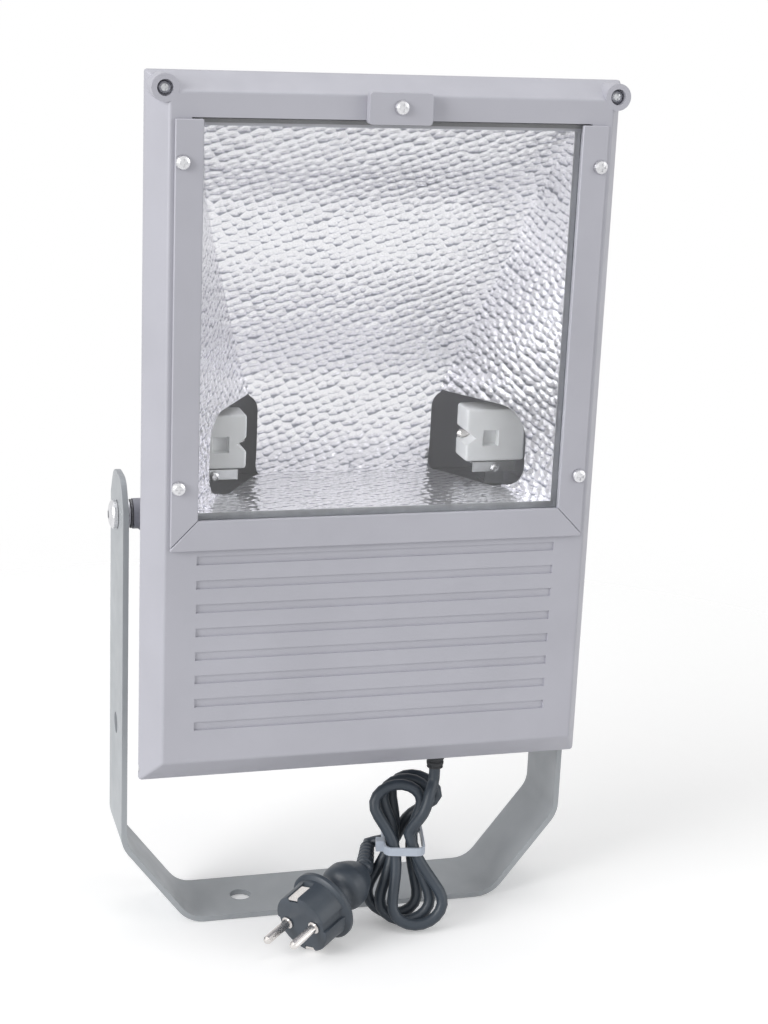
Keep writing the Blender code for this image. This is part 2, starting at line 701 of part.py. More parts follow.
def side_additions(name, sign):
    """Pivot boss with its web, hinge lug, ear for the cover screw and ledge for the partition."""
    inside = half_width_at(0.0) + HOUSING_WALL / 2
    boss = cylinder("boss_" + name, BOSS_DIAMETER, (sign * inside, 0, PIVOT_HEIGHT),
                    (sign * BOSS_END, 0, PIVOT_HEIGHT))
    web_foot = PIVOT_HEIGHT - BOSS_DIAMETER
    web = front_plate("web_" + name, [[(sign * inside, web_foot), (sign * inside, PIVOT_HEIGHT),
                                       (sign * (BOSS_END - 0.001), PIVOT_HEIGHT - 0.006)]],
                      0.004, 0.0)
    half = HINGE_LUG_WIDTH / 2
    lug_shape = [(HINGE_Y + half, HOUSING_BOTTOM + HOUSING_WALL / 2),
                 (HINGE_Y - half, HOUSING_BOTTOM + HOUSING_WALL / 2)]
    for step in range(9):
        turn = math.pi + math.pi * step / 8
        lug_shape.append((HINGE_Y + half * math.cos(turn), HINGE_Z + half * math.sin(turn)))
    lug_middle = COVER_HALF - HINGE_LUG_INSET - HINGE_LUG_LENGTH / 2
    lug = side_plate("lug_" + name, [lug_shape], HINGE_LUG_LENGTH, sign * lug_middle)
    ear_x = sign * (COVER_HALF - COVER_SCREW_INSET)
    ear_z = COVER_TOP - COVER_SCREW_INSET
    ear = cylinder("ear_" + name, EAR_DIAMETER, (ear_x, SKIRT_Y + 0.0006, ear_z),
                   (ear_x, SKIRT_Y + 0.0006 + EAR_LENGTH, ear_z))
    ear_root = (HOUSING_HALF - 2 * HOUSING_WALL, HOUSING_TOP - 2 * HOUSING_WALL)
    ear_web = box("ear_web_" + name, (min(sign * ear_root[0], ear_x), SKIRT_Y + 0.001, ear_root[1]),
                  (max(sign * ear_root[0], ear_x), SKIRT_Y + EAR_LENGTH, ear_z))
    ledge_top = PARTITION_TOP - PARTITION_THICKNESS - GAP
    ledge_x = half_width_at(RIM_Y) + HOUSING_WALL / 2
    ledge_back = GEAR_DEPTH - 0.012
    ledge_in = half_width_at(ledge_back) - LEDGE_DEPTH
    ledge = box("ledge_" + name, (min(sign * ledge_in, sign * ledge_x), RIM_Y + 0.012, ledge_top - 0.002),
                (max(sign * ledge_in, sign * ledge_x), ledge_back, ledge_top))
    draft_ledge(ledge, sign)
    return [boss, web, lug, ear, ear_web, ledge]


def draft_ledge(ledge, sign):
    """Keep the ledge's outer end inside the leaning side wall."""
    for vertex in ledge.data.vertices:
        place = ledge.location + vertex.co
        if sign * place.x > half_width_at(RIM_Y):
            place.x = sign * (half_width_at(place.y) + HOUSING_WALL / 2)
            vertex.co = place - ledge.location


def housing_cutters():
    reach = BOSS_END + 0.001
    bore = BOLT_DIAMETER + 2 * HOLE_PLAY
    bore_end = YOKE_HALF_WIDTH - BOLT_REACH - 0.002
    cutters = []
    for name, sign in sides():
        cutters.append(cylinder("boss_bore_" + name, bore, (sign * bore_end, 0, PIVOT_HEIGHT),
                                (sign * reach, 0, PIVOT_HEIGHT)))
        lug_in = COVER_HALF - HINGE_LUG_INSET - HINGE_LUG_LENGTH - 0.001
        cutters.append(cylinder("lug_bore_" + name, HINGE_PIN_DIAMETER + 2 * HOLE_PLAY,
                                (sign * lug_in, HINGE_Y, HINGE_Z),
                                (sign * (lug_in + HINGE_LUG_LENGTH + 0.002), HINGE_Y, HINGE_Z)))
        ear_x = sign * (COVER_HALF - COVER_SCREW_INSET)
        ear_z = COVER_TOP - COVER_SCREW_INSET
        cutters.append(cylinder("ear_bore_" + name, COVER_SCREW_DIAMETER + 2 * HOLE_PLAY,
                                (ear_x, SKIRT_Y, ear_z), (ear_x, SKIRT_Y + EAR_LENGTH + 0.002, ear_z)))
    cutters.append(cylinder("gland_bore", GLAND_THREAD + 2 * HOLE_PLAY,
                            (GLAND_X, GLAND_Y, HOUSING_BOTTOM - 0.002),
                            (GLAND_X, GLAND_Y, HOUSING_BOTTOM + HOUSING_WALL + 0.002)))
    return cutters


def sloped_block(name, wall, back):
    """The cover's outer form, or the same form with its surfaces moved in by a wall."""
    slope_depth = COVER_DEPTH - COVER_LIP
    front = FACE_Y + wall
    bend = SKIRT_Y - COVER_LIP

    def moved(run):
        return wall * math.hypot(run, slope_depth) / slope_depth

    def level(run, y):
        return run * (1 - (y - FACE_Y) / slope_depth) if y < bend else 0.0

    bm = bmesh.new()
    rings = []
    for y in (front, bend, back):
        side = COVER_HALF - level(SIDE_SLOPE, y) - (moved(SIDE_SLOPE) if y < bend else wall)
        top = COVER_TOP - level(TOP_SLOPE, y) - (moved(TOP_SLOPE) if y < bend else wall)
        foot = COVER_BOTTOM + level(BOTTOM_SLOPE, y) + (moved(BOTTOM_SLOPE) if y < bend else wall)
        rings.append([bm.verts.new((x, y, z)) for x, z in
                      ((-side, foot), (side, foot), (side, top), (-side, top))])
    bm.faces.new(rings[0])
    bm.faces.new(list(reversed(rings[-1])))
    for near, far in zip(rings, rings[1:]):
        for index in range(4):
            after = (index + 1) % 4
            bm.faces.new((near[index], far[index], far[after], near[after]))
    bmesh.ops.recalc_face_normals(bm, faces=bm.faces)
    return new_mesh_object(name, bm)


def make_front_cover(door):
    cover = sloped_block("front_cover", 0.0, SKIRT_Y)
    bevel(cover, 0.0012, 2, 20)
    cut(cover, sloped_block("cover_hollow", COVER_WALL, SKIRT_Y + 0.002))
    frame_half = GLASS_HALF + 0.0026
    frame_front = FACE_Y + COVER_WALL / 2
    frame = box("window_frame", (-frame_half, frame_front, GLASS_BOTTOM - 0.0026),
                (frame_half, SEAT_Y + SEAT_THICKNESS, GLASS_TOP + 0.0026))
    join(cover, frame)
    for name, sign in sides():
        x = sign * (COVER_HALF - COVER_SCREW_INSET)
        z = COVER_TOP - COVER_SCREW_INSET
        join(cover, cylinder("corner_boss_" + name, CORNER_BOSS_DIAMETER, (x, FACE_Y, z),
                             (x, SKIRT_Y - COVER_LIP / 2, z)))
    cut(cover, *cover_cutters())
    return make_part(cover, "silver_paint", door)


def cover_cutters():
    rebate = box("rebate_cut", (-GLASS_HALF - GAP, FACE_Y - 0.001, GLASS_BOTTOM - GAP),
                 (GLASS_HALF + GAP, SEAT_Y, GLASS_TOP + GAP))
    opening = box("opening_cut", (-OPENING_HALF, FACE_Y - 0.001, OPENING_BOTTOM),
                  (OPENING_HALF, SEAT_Y + SEAT_THICKNESS + 0.001, OPENING_TOP))
    cutters = [rebate, opening]
    for index in range(RIB_COUNT):
        foot = COVER_BOTTOM + RIB_START + RIB_PITCH * index
        cutters.append(box("rib_cut", (-RIB_LENGTH / 2, FACE_Y - 0.001, foot),
                           (RIB_LENGTH / 2, FACE_Y + RIB_DEPTH, foot + RIB_HEIGHT)))
    reach = COVER_HALF + 0.001
    for name, sign in sides():
        x = sign * (COVER_HALF - COVER_SCREW_INSET)
        z = COVER_TOP - COVER_SCREW_INSET
        cutters.append(cylinder("counterbore_" + name, COVER_SCREW_HEAD + 0.0015,
                                (x, FACE_Y - 0.001, z), (x, FACE_Y + COUNTERBORE_DEPTH, z)))
        cutters.append(cylinder("cover_bore_" + name, COVER_SCREW_DIAMETER + 2 * HOLE_PLAY,
                                (x, FACE_Y, z), (x, SKIRT_Y + 0.001, z)))
        cutters.append(cylinder("skirt_bore_" + name, HINGE_PIN_DIAMETER + 2 * HOLE_PLAY,
                                (sign * (reach - 0.006), HINGE_Y, HINGE_Z),
                                (sign * reach, HINGE_Y, HINGE_Z)))
        for level in stile_screw_heights():
            place = (sign * (STRIP_OUTER - STILE_SCREW_INSET), level)
            cutters.append(screw_bore("stile_bore", place))
    cutters.append(screw_bore("clip_bore", (0.0, clip_screw_height())))
    return cutters


def screw_bore(name, place):
    x, z = place
    return cylinder(name, SCREW_DIAMETER + 2 * HOLE_PLAY, (x, FACE_Y - 0.001, z),
                    (x, PLATE_Y + 0.001, z), sides=16)


def stile_screw_heights():
    upper = stile_top() - STILE_SCREW_TOP
    return (upper, upper - STILE_SCREW_SPACING)


def stile_top():
    return GLASS_TOP - GAP


def clip_foot():
    return GLASS_TOP - CLIP_LAP


def clip_screw_height():
    return clip_foot() + CLIP_HEIGHT * 0.55


def make_cover_seal(head):
    half = HOUSING_HALF - GAP
    low = HOUSING_BOTTOM + GAP
    high = HOUSING_TOP - GAP
    outer = rounded(rectangle((-half, low), (half, high)), 0.003, 2)
    inner = rectangle((-half + SEAL_WIDTH, low + SEAL_WIDTH), (half - SEAL_WIDTH, high - SEAL_WIDTH))
    seal = front_plate("cover_seal", [outer, inner], SEAL_THICKNESS, SEAL_Y + SEAL_THICKNESS / 2)
    return make_part(seal, "grey_rubber", head)


def make_glass(door):
    outer = rectangle((-GLASS_HALF, GLASS_BOTTOM), (GLASS_HALF, GLASS_TOP))
    glass = front_plate("front_glass", [outer], GLASS_THICKNESS, FACE_Y + GLASS_THICKNESS / 2)
    make_part(glass, "glass", door)
    inner = rectangle((-GLASS_HALF + GASKET_WIDTH, GLASS_BOTTOM + GASKET_WIDTH),
                      (GLASS_HALF - GASKET_WIDTH, GLASS_TOP - GASKET_WIDTH))
    gasket = front_plate("glass_gasket", [outer, inner], GASKET_THICKNESS,
                         GASKET_Y + GASKET_THICKNESS / 2)
    make_part(gasket, "black_rubber", door)


def make_strips(door):
    """The two stiles and the bottom rail, with mitred corners and a hole for each screw."""
    joint = GAP / 2
    for name, sign in sides():
        outer = sign * STRIP_OUTER
        inner = sign * STRIP_INNER
        foot = RAIL_TOP - MITRE_RISE
        outline = [(outer, foot + joint), (inner, RAIL_TOP + joint), (inner, stile_top()),
                   (outer, stile_top())]
        holes = [ring((sign * (STRIP_OUTER - STILE_SCREW_INSET), level),
                      SCREW_DIAMETER + 2 * HOLE_PLAY, 16) for level in stile_screw_heights()]
        stile = front_plate(name + "_stile", [outline] + holes, STRIP_THICKNESS, STRIP_Y)
        make_part(bevel(stile, 0.0004, 1), "silver_paint", door)
    foot = RAIL_TOP - MITRE_RISE
    outline = [(-STRIP_OUTER, RAIL_BOTTOM), (STRIP_OUTER, RAIL_BOTTOM), (STRIP_OUTER, foot - joint),
               (STRIP_INNER, RAIL_TOP - joint), (-STRIP_INNER, RAIL_TOP - joint),
               (-STRIP_OUTER, foot - joint)]
    rail = front_plate("bottom_rail", [outline], STRIP_THICKNESS, STRIP_Y)
    make_part(bevel(rail, 0.0004, 1), "silver_paint", door)


def make_clip(door):
    low = clip_foot()
    half = CLIP_WIDTH / 2
    bore = ring((0.0, clip_screw_height()), SCREW_DIAMETER + 2 * HOLE_PLAY, 16)
    outline = rounded(rectangle((-half, low), (half, low + CLIP_HEIGHT)), 0.0015, 2)
    clip = front_plate("top_clip", [outline, bore], CLIP_THICKNESS, FACE_Y - GAP - CLIP_THICKNESS / 2)
    make_part(bevel(clip, 0.0007, 2), "silver_paint", door)
    place = (0.0, FACE_Y - GAP - CLIP_THICKNESS, clip_screw_height())
    make_screw("clip_screw", place, PAN_DIAMETER, CLIP_THICKNESS + COVER_WALL, SCREW_DIAMETER,
               "zinc", door)


def make_screw(name, seat, head_diameter, length, diameter, finish, parent, height=PAN_HEIGHT):
    """A pan-head screw whose head rests at the seat and whose shank runs back along +Y."""
    x, y, z = seat
    top = y - GAP
    radius = head_diameter / 2
    profile = [(0.0, height), (radius * 0.55, height * 0.94), (radius * 0.88, height * 0.68),
               (radius, height * 0.3), (radius, 0.0), (diameter / 2, 0.0),
               (diameter / 2, 0.0005 - length), (diameter / 2 - 0.0005, -length), (0.0, -length)]
    screw = lathe(name, profile, axis_matrix((x, top, z), (0, -1, 0), (1, 0, 0)), sides=16)
    arm = radius * 0.55
    deep = top - height + SLOT_DEPTH
    half = SLOT_WIDTH / 2
    cut(screw, box(name + "_slot", (x - arm, top - height - 0.001, z - half), (x + arm, deep, z + half)),
        box(name + "_cross", (x - half, top - height - 0.001, z - arm), (x + half, deep, z + arm)))
    return make_part(screw, finish, parent)


def make_cover_screws(door):
    for name, sign in sides():
        x = sign * (STRIP_OUTER - STILE_SCREW_INSET)
        for label, level in zip(("upper", "lower"), stile_screw_heights()):
            place = (x, FACE_Y - GAP - STRIP_THICKNESS, level)
            make_screw("stile_screw_" + label + "_" + name, place, PAN_DIAMETER,
                       STRIP_THICKNESS + COVER_WALL, SCREW_DIAMETER, "zinc", door)
        place = (sign * (COVER_HALF - COVER_SCREW_INSET),
                 FACE_Y + COVER_SCREW_SINK + PAN_HEIGHT, COVER_TOP - COVER_SCREW_INSET)
        make_screw("cover_screw_" + name, place, COVER_SCREW_HEAD, COVER_SCREW_LENGTH,
                   COVER_SCREW_DIAMETER, "dark_steel", door)


def make_hinge_pins(head):
    lug_in = COVER_HALF - HINGE_LUG_INSET - HINGE_LUG_LENGTH
    for name, sign in sides():
        start = (sign * (lug_in + 0.0005), HINGE_Y, HINGE_Z)
        end = (sign * (COVER_HALF - 0.0003), HINGE_Y, HINGE_Z)
        pin = cylinder("hinge_pin_" + name, HINGE_PIN_DIAMETER, start, end, sides=16)
        make_part(pin, "zinc", head)


def floor_line():
    """The reflector's floor, from its back edge to its front edge, as (y, height, half width)."""
    back = REFLECTOR_LINE[-1]
    y = back[0] - 0.004
    return ((y, FLOOR_BACK_RISE, side_half_width(y)),
            (REFLECTOR_MOUTH, REFLECTOR_FOOT, REFLECTOR_FRONT_HALF))


def side_half_width(y):
    """Half width between the side sheets at the height of the lamp, at a depth y."""
    back = REFLECTOR_LINE[6]
    share = (y - REFLECTOR_MOUTH) / (back[0] - REFLECTOR_MOUTH)
    return REFLECTOR_FRONT_HALF + (back[2] - REFLECTOR_FRONT_HALF) * share


def sheet(name, rows, inward):
    """A bent sheet through rows of points, thickened away from the lamp."""
    bm = bmesh.new()
    lines = [[bm.verts.new(point) for point in row] for row in rows]
    for upper, lower in zip(lines, lines[1:]):
        for index in range(len(upper) - 1):
            bm.faces.new((upper[index], upper[index + 1], lower[index + 1], lower[index]))
    bmesh.ops.recalc_face_normals(bm, faces=bm.faces)
    bm.faces.ensure_lookup_table()
    if bm.faces[len(bm.faces) // 2].normal.dot(Vector(inward)) < 0:
        bmesh.ops.reverse_faces(bm, faces=bm.faces)
    item = new_mesh_object(name, bm)
    shell = item.modifiers.new("sheet", "SOLIDIFY")
    shell.thickness = SHEET_THICKNESS
    shell.offset = -1.0
    shell.use_even_offset = True
    return item


def make_reflectors(head):
    margin = 0.0012
    rows = []
    for y, rise, half in REFLECTOR_LINE + floor_line():
        edge = half - margin
        rows.append([(x, y, OPTIC_Z + rise) for x in (-edge, 0.0, edge)])
    main = sheet("main_reflector", rows, (0, -1, 0))
    make_part(main, "hammered", head)
    foot = OPTIC_Z + FLOOR_BACK_RISE + 0.0015
    for name, sign in sides():
        rows = []
        for y, rise, half in REFLECTOR_LINE:
            z = OPTIC_Z + rise
            front = (sign * REFLECTOR_FRONT_HALF, REFLECTOR_MOUTH, z)
            back = (sign * half, y, z)
            middle = tuple((a + b) / 2 for a, b in zip(front, back))
            rows.append([front, middle, back])
        last = rows[-1]
        rows.append([(x, y, foot) for x, y, z in last])
        side = sheet(name + "_side_reflector", rows, (-sign, -1, 0))
        cut(side, socket_cutout(name, sign))
        make_part(side, "hammered", head)


def socket_cutout(name, sign):
    low = OPTIC_Z + FLOOR_BACK_RISE - 0.006
    high = OPTIC_Z + CUTOUT_TOP
    back = REFLECTOR_LINE[6][0] + 0.01
    outline = rounded([(CUTOUT_FRONT, low), (back, low), (back, high), (CUTOUT_FRONT, high)],
                      [0, 0, 0, CUTOUT_RADIUS])
    return side_plate("socket_cutout_" + name, [outline], 2 * SOCKET_LENGTH,
                      sign * (SOCKET_INNER + SOCKET_LENGTH / 2))


def make_lampholder(name, sign, head):
    """Ceramic block with its contact, on a bent bracket that stands on the partition."""
    outer = SOCKET_INNER + SOCKET_LENGTH
    foot = OPTIC_Z + SOCKET_FOOT
    back = SOCKET_FRONT + SOCKET_DEPTH
    block = box("lampholder_" + name, (min(sign * SOCKET_INNER, sign * outer), SOCKET_FRONT, foot),
                (max(sign * SOCKET_INNER, sign * outer), back, foot + SOCKET_HEIGHT))
    bevel(block, 0.0016, 2)
    centre = foot + SOCKET_HEIGHT * 0.45
    window_x = sign * (SOCKET_INNER + SOCKET_WINDOW_INSET)
    half = SOCKET_WINDOW / 2
    window = box("socket_window_" + name, (window_x - half, SOCKET_FRONT - 0.001, centre - half),
                 (window_x + half, SOCKET_FRONT + SOCKET_WINDOW_DEPTH, centre + half))
    mouth_x = sign * (SOCKET_INNER - 0.001)
    wedge = [(mouth_x, centre - SOCKET_NOTCH_HEIGHT / 2), (mouth_x, centre + SOCKET_NOTCH_HEIGHT / 2),
             (sign * (SOCKET_INNER + SOCKET_NOTCH_DEPTH), centre)]
    notch = front_plate("socket_notch_" + name, [wedge], SOCKET_DEPTH + 0.002,
                        SOCKET_FRONT + SOCKET_DEPTH / 2)
    contact_y = SOCKET_FRONT + CONTACT_SET_BACK
    tip = SOCKET_INNER - CONTACT_REACH
    bore = cylinder("contact_bore_" + name, CONTACT_DIAMETER + 2 * HOLE_PLAY,
                    (sign * SOCKET_INNER, contact_y, centre),
                    (sign * (tip + CONTACT_LENGTH + GAP), contact_y, centre), sides=16)
    cut(block, window, notch, bore)
    make_part(block, "ceramic", head)
    radius = CONTACT_DIAMETER / 2
    profile = [(0.0, 0.0), (radius * 0.6, -0.0004), (radius, -0.0016), (radius, -CONTACT_LENGTH),
               (0.0, -CONTACT_LENGTH)]
    contact = lathe("lamp_contact_" + name, profile,
                    axis_matrix((sign * tip, contact_y, centre), (-sign, 0, 0)), sides=12)
    make_part(contact, "nickel", head)
    make_bracket(name, sign, foot, head)


def make_bracket(name, sign, block_foot, head):
    inner = SOCKET_INNER + 0.0043
    outer = inner + 0.0236
    top = block_foot - GAP
    thick = BRACKET_THICKNESS
    front = SOCKET_FRONT + 0.0003

    def slab(label, x0, x1, y0, y1, z0, z1):
        return box(label + name, (min(sign * x0, sign * x1), y0, z0), (max(sign * x0, sign * x1), y1, z1))

    bracket = slab("socket_bracket_", inner, outer, front, SOCKET_FRONT + SOCKET_DEPTH, top - thick, top)
    flange_foot = top - BRACKET_FLANGE
    flange = slab("bracket_flange_", inner, outer, front, front + thick, flange_foot, top - thick / 2)
    base = PARTITION_TOP + GAP
    leg_in = outer - BRACKET_LEG_WIDTH
    back = SOCKET_FRONT + SOCKET_DEPTH
    leg = slab("bracket_leg_", leg_in, outer, back - thick, back, base, top - thick / 2)
    pad = slab("bracket_pad_", leg_in, outer, back - thick / 2, back + 0.012, base, base + thick)
    join(bracket, flange, leg, pad)
    screw_x = sign * (SOCKET_INNER + SOCKET_WINDOW_INSET + 0.003)
    screw_z = flange_foot + (BRACKET_FLANGE - thick) / 2
    cut(bracket, cylinder("bracket_bore_" + name, 0.003 + 2 * HOLE_PLAY,
                          (screw_x, front - 0.001, screw_z), (screw_x, front + thick + 0.001, screw_z),
                          sides=12))
    make_part(bracket, "bare_sheet", head)
    make_screw("bracket_screw_" + name, (screw_x, front, screw_z), BRACKET_SCREW_HEAD, 0.0055,
               0.003, "zinc", head, height=0.0018)


def make_partition(head):
    front = RIM_Y + 0.004
    back = GEAR_DEPTH - HOUSING_WALL - 0.0008
    wide = half_width_at(front, 0.0006)
    narrow = half_width_at(back, 0.0006)
    outline = [(-wide, front), (wide, front), (narrow, back), (-narrow, back)]
    sheet_plate = level_plate("partition", [outline], PARTITION_THICKNESS,
                              PARTITION_TOP - PARTITION_THICKNESS / 2)
    make_part(sheet_plate, "bare_sheet", head)


def make_tray(head):
    """Tray for the control gear: a flat plate with a front flange, cut away at the gland."""
    low = TRAY_TOP - TRAY_THICKNESS
    front = RIM_Y + 0.006
    back = CORE_BACK + 0.006
    half = half_width_at(back, 0.006)
    tray = box("gear_tray", (-half, front, low), (half, back, TRAY_TOP))
    join(tray, box("tray_flange", (-half, front, TRAY_TOP - TRAY_THICKNESS / 2),
                   (half, front + TRAY_THICKNESS, TRAY_TOP + TRAY_FLANGE)))
    cut(tray, cylinder("tray_hole", GLAND_FLATS + 0.006, (GLAND_X, GLAND_Y, low - 0.001),
                       (GLAND_X, GLAND_Y, TRAY_TOP + 0.001)))
    make_part(tray, "zinc", head)


def make_ballast(head):
    """Laminated core with two windows, and the coil that goes through them round its limb."""
    middle = BALLAST_OFFSET
    base = GEAR_FLOOR
    front = CORE_BACK - CORE_DEPTH
    window = (CORE_WIDTH - CORE_LIMB) / 2 - CORE_YOKE
    core = box("ballast_core", (middle - CORE_WIDTH / 2, front, base),
               (middle + CORE_WIDTH / 2, CORE_BACK, base + CORE_HEIGHT))
    for sign in (-1, 1):
        edge = middle + sign * CORE_LIMB / 2
        far = edge + sign * window
        cut(core, box("core_window", (min(edge, far), front - 0.001, base + CORE_YOKE),
                      (max(edge, far), CORE_BACK + 0.001, base + CORE_HEIGHT - CORE_YOKE)))
    make_part(core, "laminations", head)
    inner_x = CORE_LIMB / 2 + COIL_PLAY
    outer_x = inner_x + min(COIL_WALL, window - 2 * COIL_PLAY)
    reach = outer_x - inner_x
    outer = rectangle((middle - outer_x, front - COIL_PLAY - reach),
                      (middle + outer_x, CORE_BACK + COIL_PLAY + reach))
    inner = rectangle((middle - inner_x, front - COIL_PLAY), (middle + inner_x, CORE_BACK + COIL_PLAY))
    low = base + CORE_YOKE + COIL_PLAY
    high = base + CORE_HEIGHT - CORE_YOKE - COIL_PLAY
    coil = level_plate("ballast_coil", [rounded(outer, 0.003, 2), inner], high - low, (low + high) / 2)
    make_part(coil, "copper", head)


def make_gear(head):
    width, depth, height = IGNITOR_SIZE
    front = CORE_BACK - depth
    ignitor = box("ignitor", (IGNITOR_OFFSET - width / 2, front, GEAR_FLOOR),
                  (IGNITOR_OFFSET + width / 2, CORE_BACK, GEAR_FLOOR + height))
    make_part(bevel(ignitor, 0.002), "pale_plastic", head)
    radius = CAPACITOR_DIAMETER / 2
    lip = GEAR_FLOOR + CLAMP_THICKNESS + GAP
    top = CAPACITOR_LENGTH
    profile = [(0.0, top), (radius - 0.002, top), (radius, top - 0.002), (radius, 0.002),
               (radius - 0.002, 0.0), (0.0, 0.0)]
    place = (CAPACITOR_OFFSET, CORE_BACK - radius - 0.002, lip)
    can = lathe("capacitor", profile, Matrix.Translation(place))
    make_part(can, "bare_sheet", head)
    make_clamp(place, head)
    make_terminals(head)


def make_clamp(place, head):
    """Sheet foot under the capacitor with a band round it."""
    inner = CAPACITOR_DIAMETER / 2 + GAP
    outer = inner + CLAMP_THICKNESS
    x, y, z = place
    band = plate("capacitor_clamp", [ring((0, 0), 2 * outer), ring((0, 0), 2 * inner)], CLAMP_WIDTH,
                 Matrix.Translation((x, y, z + CLAMP_WIDTH / 2)))
    foot = cylinder("clamp_foot", 2 * outer, (x, y, GEAR_FLOOR), (x, y, GEAR_FLOOR + CLAMP_THICKNESS))
    wall = cylinder("clamp_wall", 2 * outer, (x, y, GEAR_FLOOR), (x, y, z + 0.001))
    hollow = cylinder("clamp_hollow", 2 * inner, (x, y, GEAR_FLOOR + CLAMP_THICKNESS), (x, y, z + 0.002))
    cut(wall, hollow)
    join(band, foot, wall)
    make_part(band, "zinc", head)


def make_terminals(head):
    width, depth, height = TERMINAL_SIZE
    x, y = TERMINAL_OFFSET
    y -= depth
    base = PARTITION_TOP - PARTITION_THICKNESS - GAP - height
    block = box("terminal_block", (x - width / 2, y, base), (x + width / 2, y + depth, base + height))
    pitch = width / TERMINAL_POLES
    for index in range(TERMINAL_POLES):
        place = x + pitch * (index - (TERMINAL_POLES - 1) / 2)
        cut(block, cylinder("pole", 0.0045, (place, y - 0.001, base + height / 2),
                            (place, y + depth - 0.004, base + height / 2), sides=12))
    make_part(block, "pale_plastic", head)


def make_gland(head):
    """Gland body through the housing's floor, a nut inside, and the tapered strain relief below."""
    x, y = GLAND_X, GLAND_Y
    bore = CORD_DIAMETER + 0.001
    shoulder = HOUSING_BOTTOM - GAP
    nut_base = HOUSING_BOTTOM + HOUSING_WALL + GAP
    nut_height = 0.005
    top = nut_base + nut_height + 0.002
    body = plate("cable_gland", [ring((0, 0), GLAND_FLATS / math.cos(math.pi / 6), 6),
                                 ring((0, 0), bore)],
                 GLAND_HEAD, Matrix.Translation((x, y, shoulder - GLAND_HEAD / 2)))
    thread = plate("gland_thread", [ring((0, 0), GLAND_THREAD), ring((0, 0), bore)],
                   top - shoulder + 0.001, Matrix.Translation((x, y, (top + shoulder - 0.001) / 2)))
    join(body, thread)
    make_part(body, "plug", head)
    nut = plate("gland_nut", [ring((0, 0), GLAND_FLATS / math.cos(math.pi / 6), 6),
                              ring((0, 0), GLAND_THREAD + 2 * HOLE_PLAY)],
                nut_height, Matrix.Translation((x, y, nut_base + nut_height / 2)))
    make_part(nut, "plug", head)
    start = relief_top()
    hole = CORD_RADIUS + CORD_FIT
    wide = RELIEF_TOP_DIAMETER / 2
    tip = RELIEF_TIP_DIAMETER / 2
    profile = [(hole, 0.0), (wide, 0.0)]
    for index in range(5):
        level = -RELIEF_LENGTH * (index + 0.55) / 5
        radius = wide + (tip - wide) * (index + 0.55) / 5
        profile += [(radius, level), (radius - 0.0006, level - 0.0008), (radius - 0.0006, level - 0.0014),
                    (radius - 0.0003, level - 0.0022)]
    profile = profile[:-1] + [(tip, -RELIEF_LENGTH), (hole, -RELIEF_LENGTH), (hole, 0.0)]
    relief = lathe("strain_relief", profile, Matrix.Translation((x, y, start)), sides=16)
    make_part(relief, "black_rubber", head)


def relief_top():
    return HOUSING_BOTTOM - GAP - GLAND_HEAD - GAP


def relief_foot():
    return relief_top() - RELIEF_LENGTH


def hank_axes():
    """Across, along and through the hank: it leans back, and its layers lie one behind another."""
    across = np.array([math.cos(HANK_TURN), -math.sin(HANK_TURN), 0.0])
    forward = np.array([-math.sin(HANK_TURN), -math.cos(HANK_TURN), 0.0])
    along = -forward * math.sin(HANK_LEAN) + np.array([0.0, 0.0, math.cos(HANK_LEAN)])
    return across, along, forward


def hank_middle():
    height = HANK_FALL * math.cos(HANK_LEAN) + CORD_RADIUS + FLOOR_CLEARANCE
    return np.array([*HANK_WAIST, height])


def loop_point(share):
    """One round of a loop, as (across, along), from the right of the tie down and round."""
    radius = HANK_FOLD_RADIUS
    low = HANK_FALL - radius
    high = HANK_RISE - radius
    fold = math.pi * radius
    run = share * (2 * (low + high) + 2 * fold)
    if run < low:
        point = (radius, -run)
    elif run < low + fold:
        turn = (run - low) / radius
        point = (radius * math.cos(turn), -low - radius * math.sin(turn))
    elif run < 2 * low + high + fold:
        point = (-radius, run - 2 * low - fold)
    elif run < 2 * low + high + 2 * fold:
        turn = (run - 2 * low - high - fold) / radius
        point = (-radius * math.cos(turn), high + radius * math.sin(turn))
    else:
        point = (radius, 2 * (low + high + fold) - run)
    reach = high + radius if point[1] > 0 else low + radius
    draw = (1 - HANK_WAIST_HALF / radius) * math.cos(math.pi / 2 * min(1.0, abs(point[1]) / reach)) ** 2
    return point[0] * (1 - draw), point[1]


def ease(value):
    value = min(1.0, max(0.0, value))
    return value * value * (3 - 2 * value)


def hank_points():
    """The hank's centre line; each layer is reached along the right-hand run."""
    across, along, forward = hank_axes()
    middle = hank_middle()
    total = HANK_LOOPS * HANK_POINTS_PER_LOOP
    climb = 1 - HANK_CLIMB_START
    points = []
    for index in range(total + 1):
        turns = index / HANK_POINTS_PER_LOOP
        u, w = loop_point(turns % 1.0)
        layer = sum(ease((turns - count - HANK_CLIMB_START) / climb) for count in range(HANK_LOOPS))
        leave = ease((turns - HANK_LOOPS + HANK_EXIT_SHARE) / HANK_EXIT_SHARE)
        u = u * (1 - leave) + HANK_EXIT * leave
        fan = HANK_FAN * (HANK_LOOPS / 2 - turns)
        u, w = u * math.cos(fan) - w * math.sin(fan), u * math.sin(fan) + w * math.cos(fan)
        depth = HANK_STEP * (HANK_LOOPS / 2 - layer)
        points.append(middle + across * u + along * w + forward * depth)
    return np.array(points)


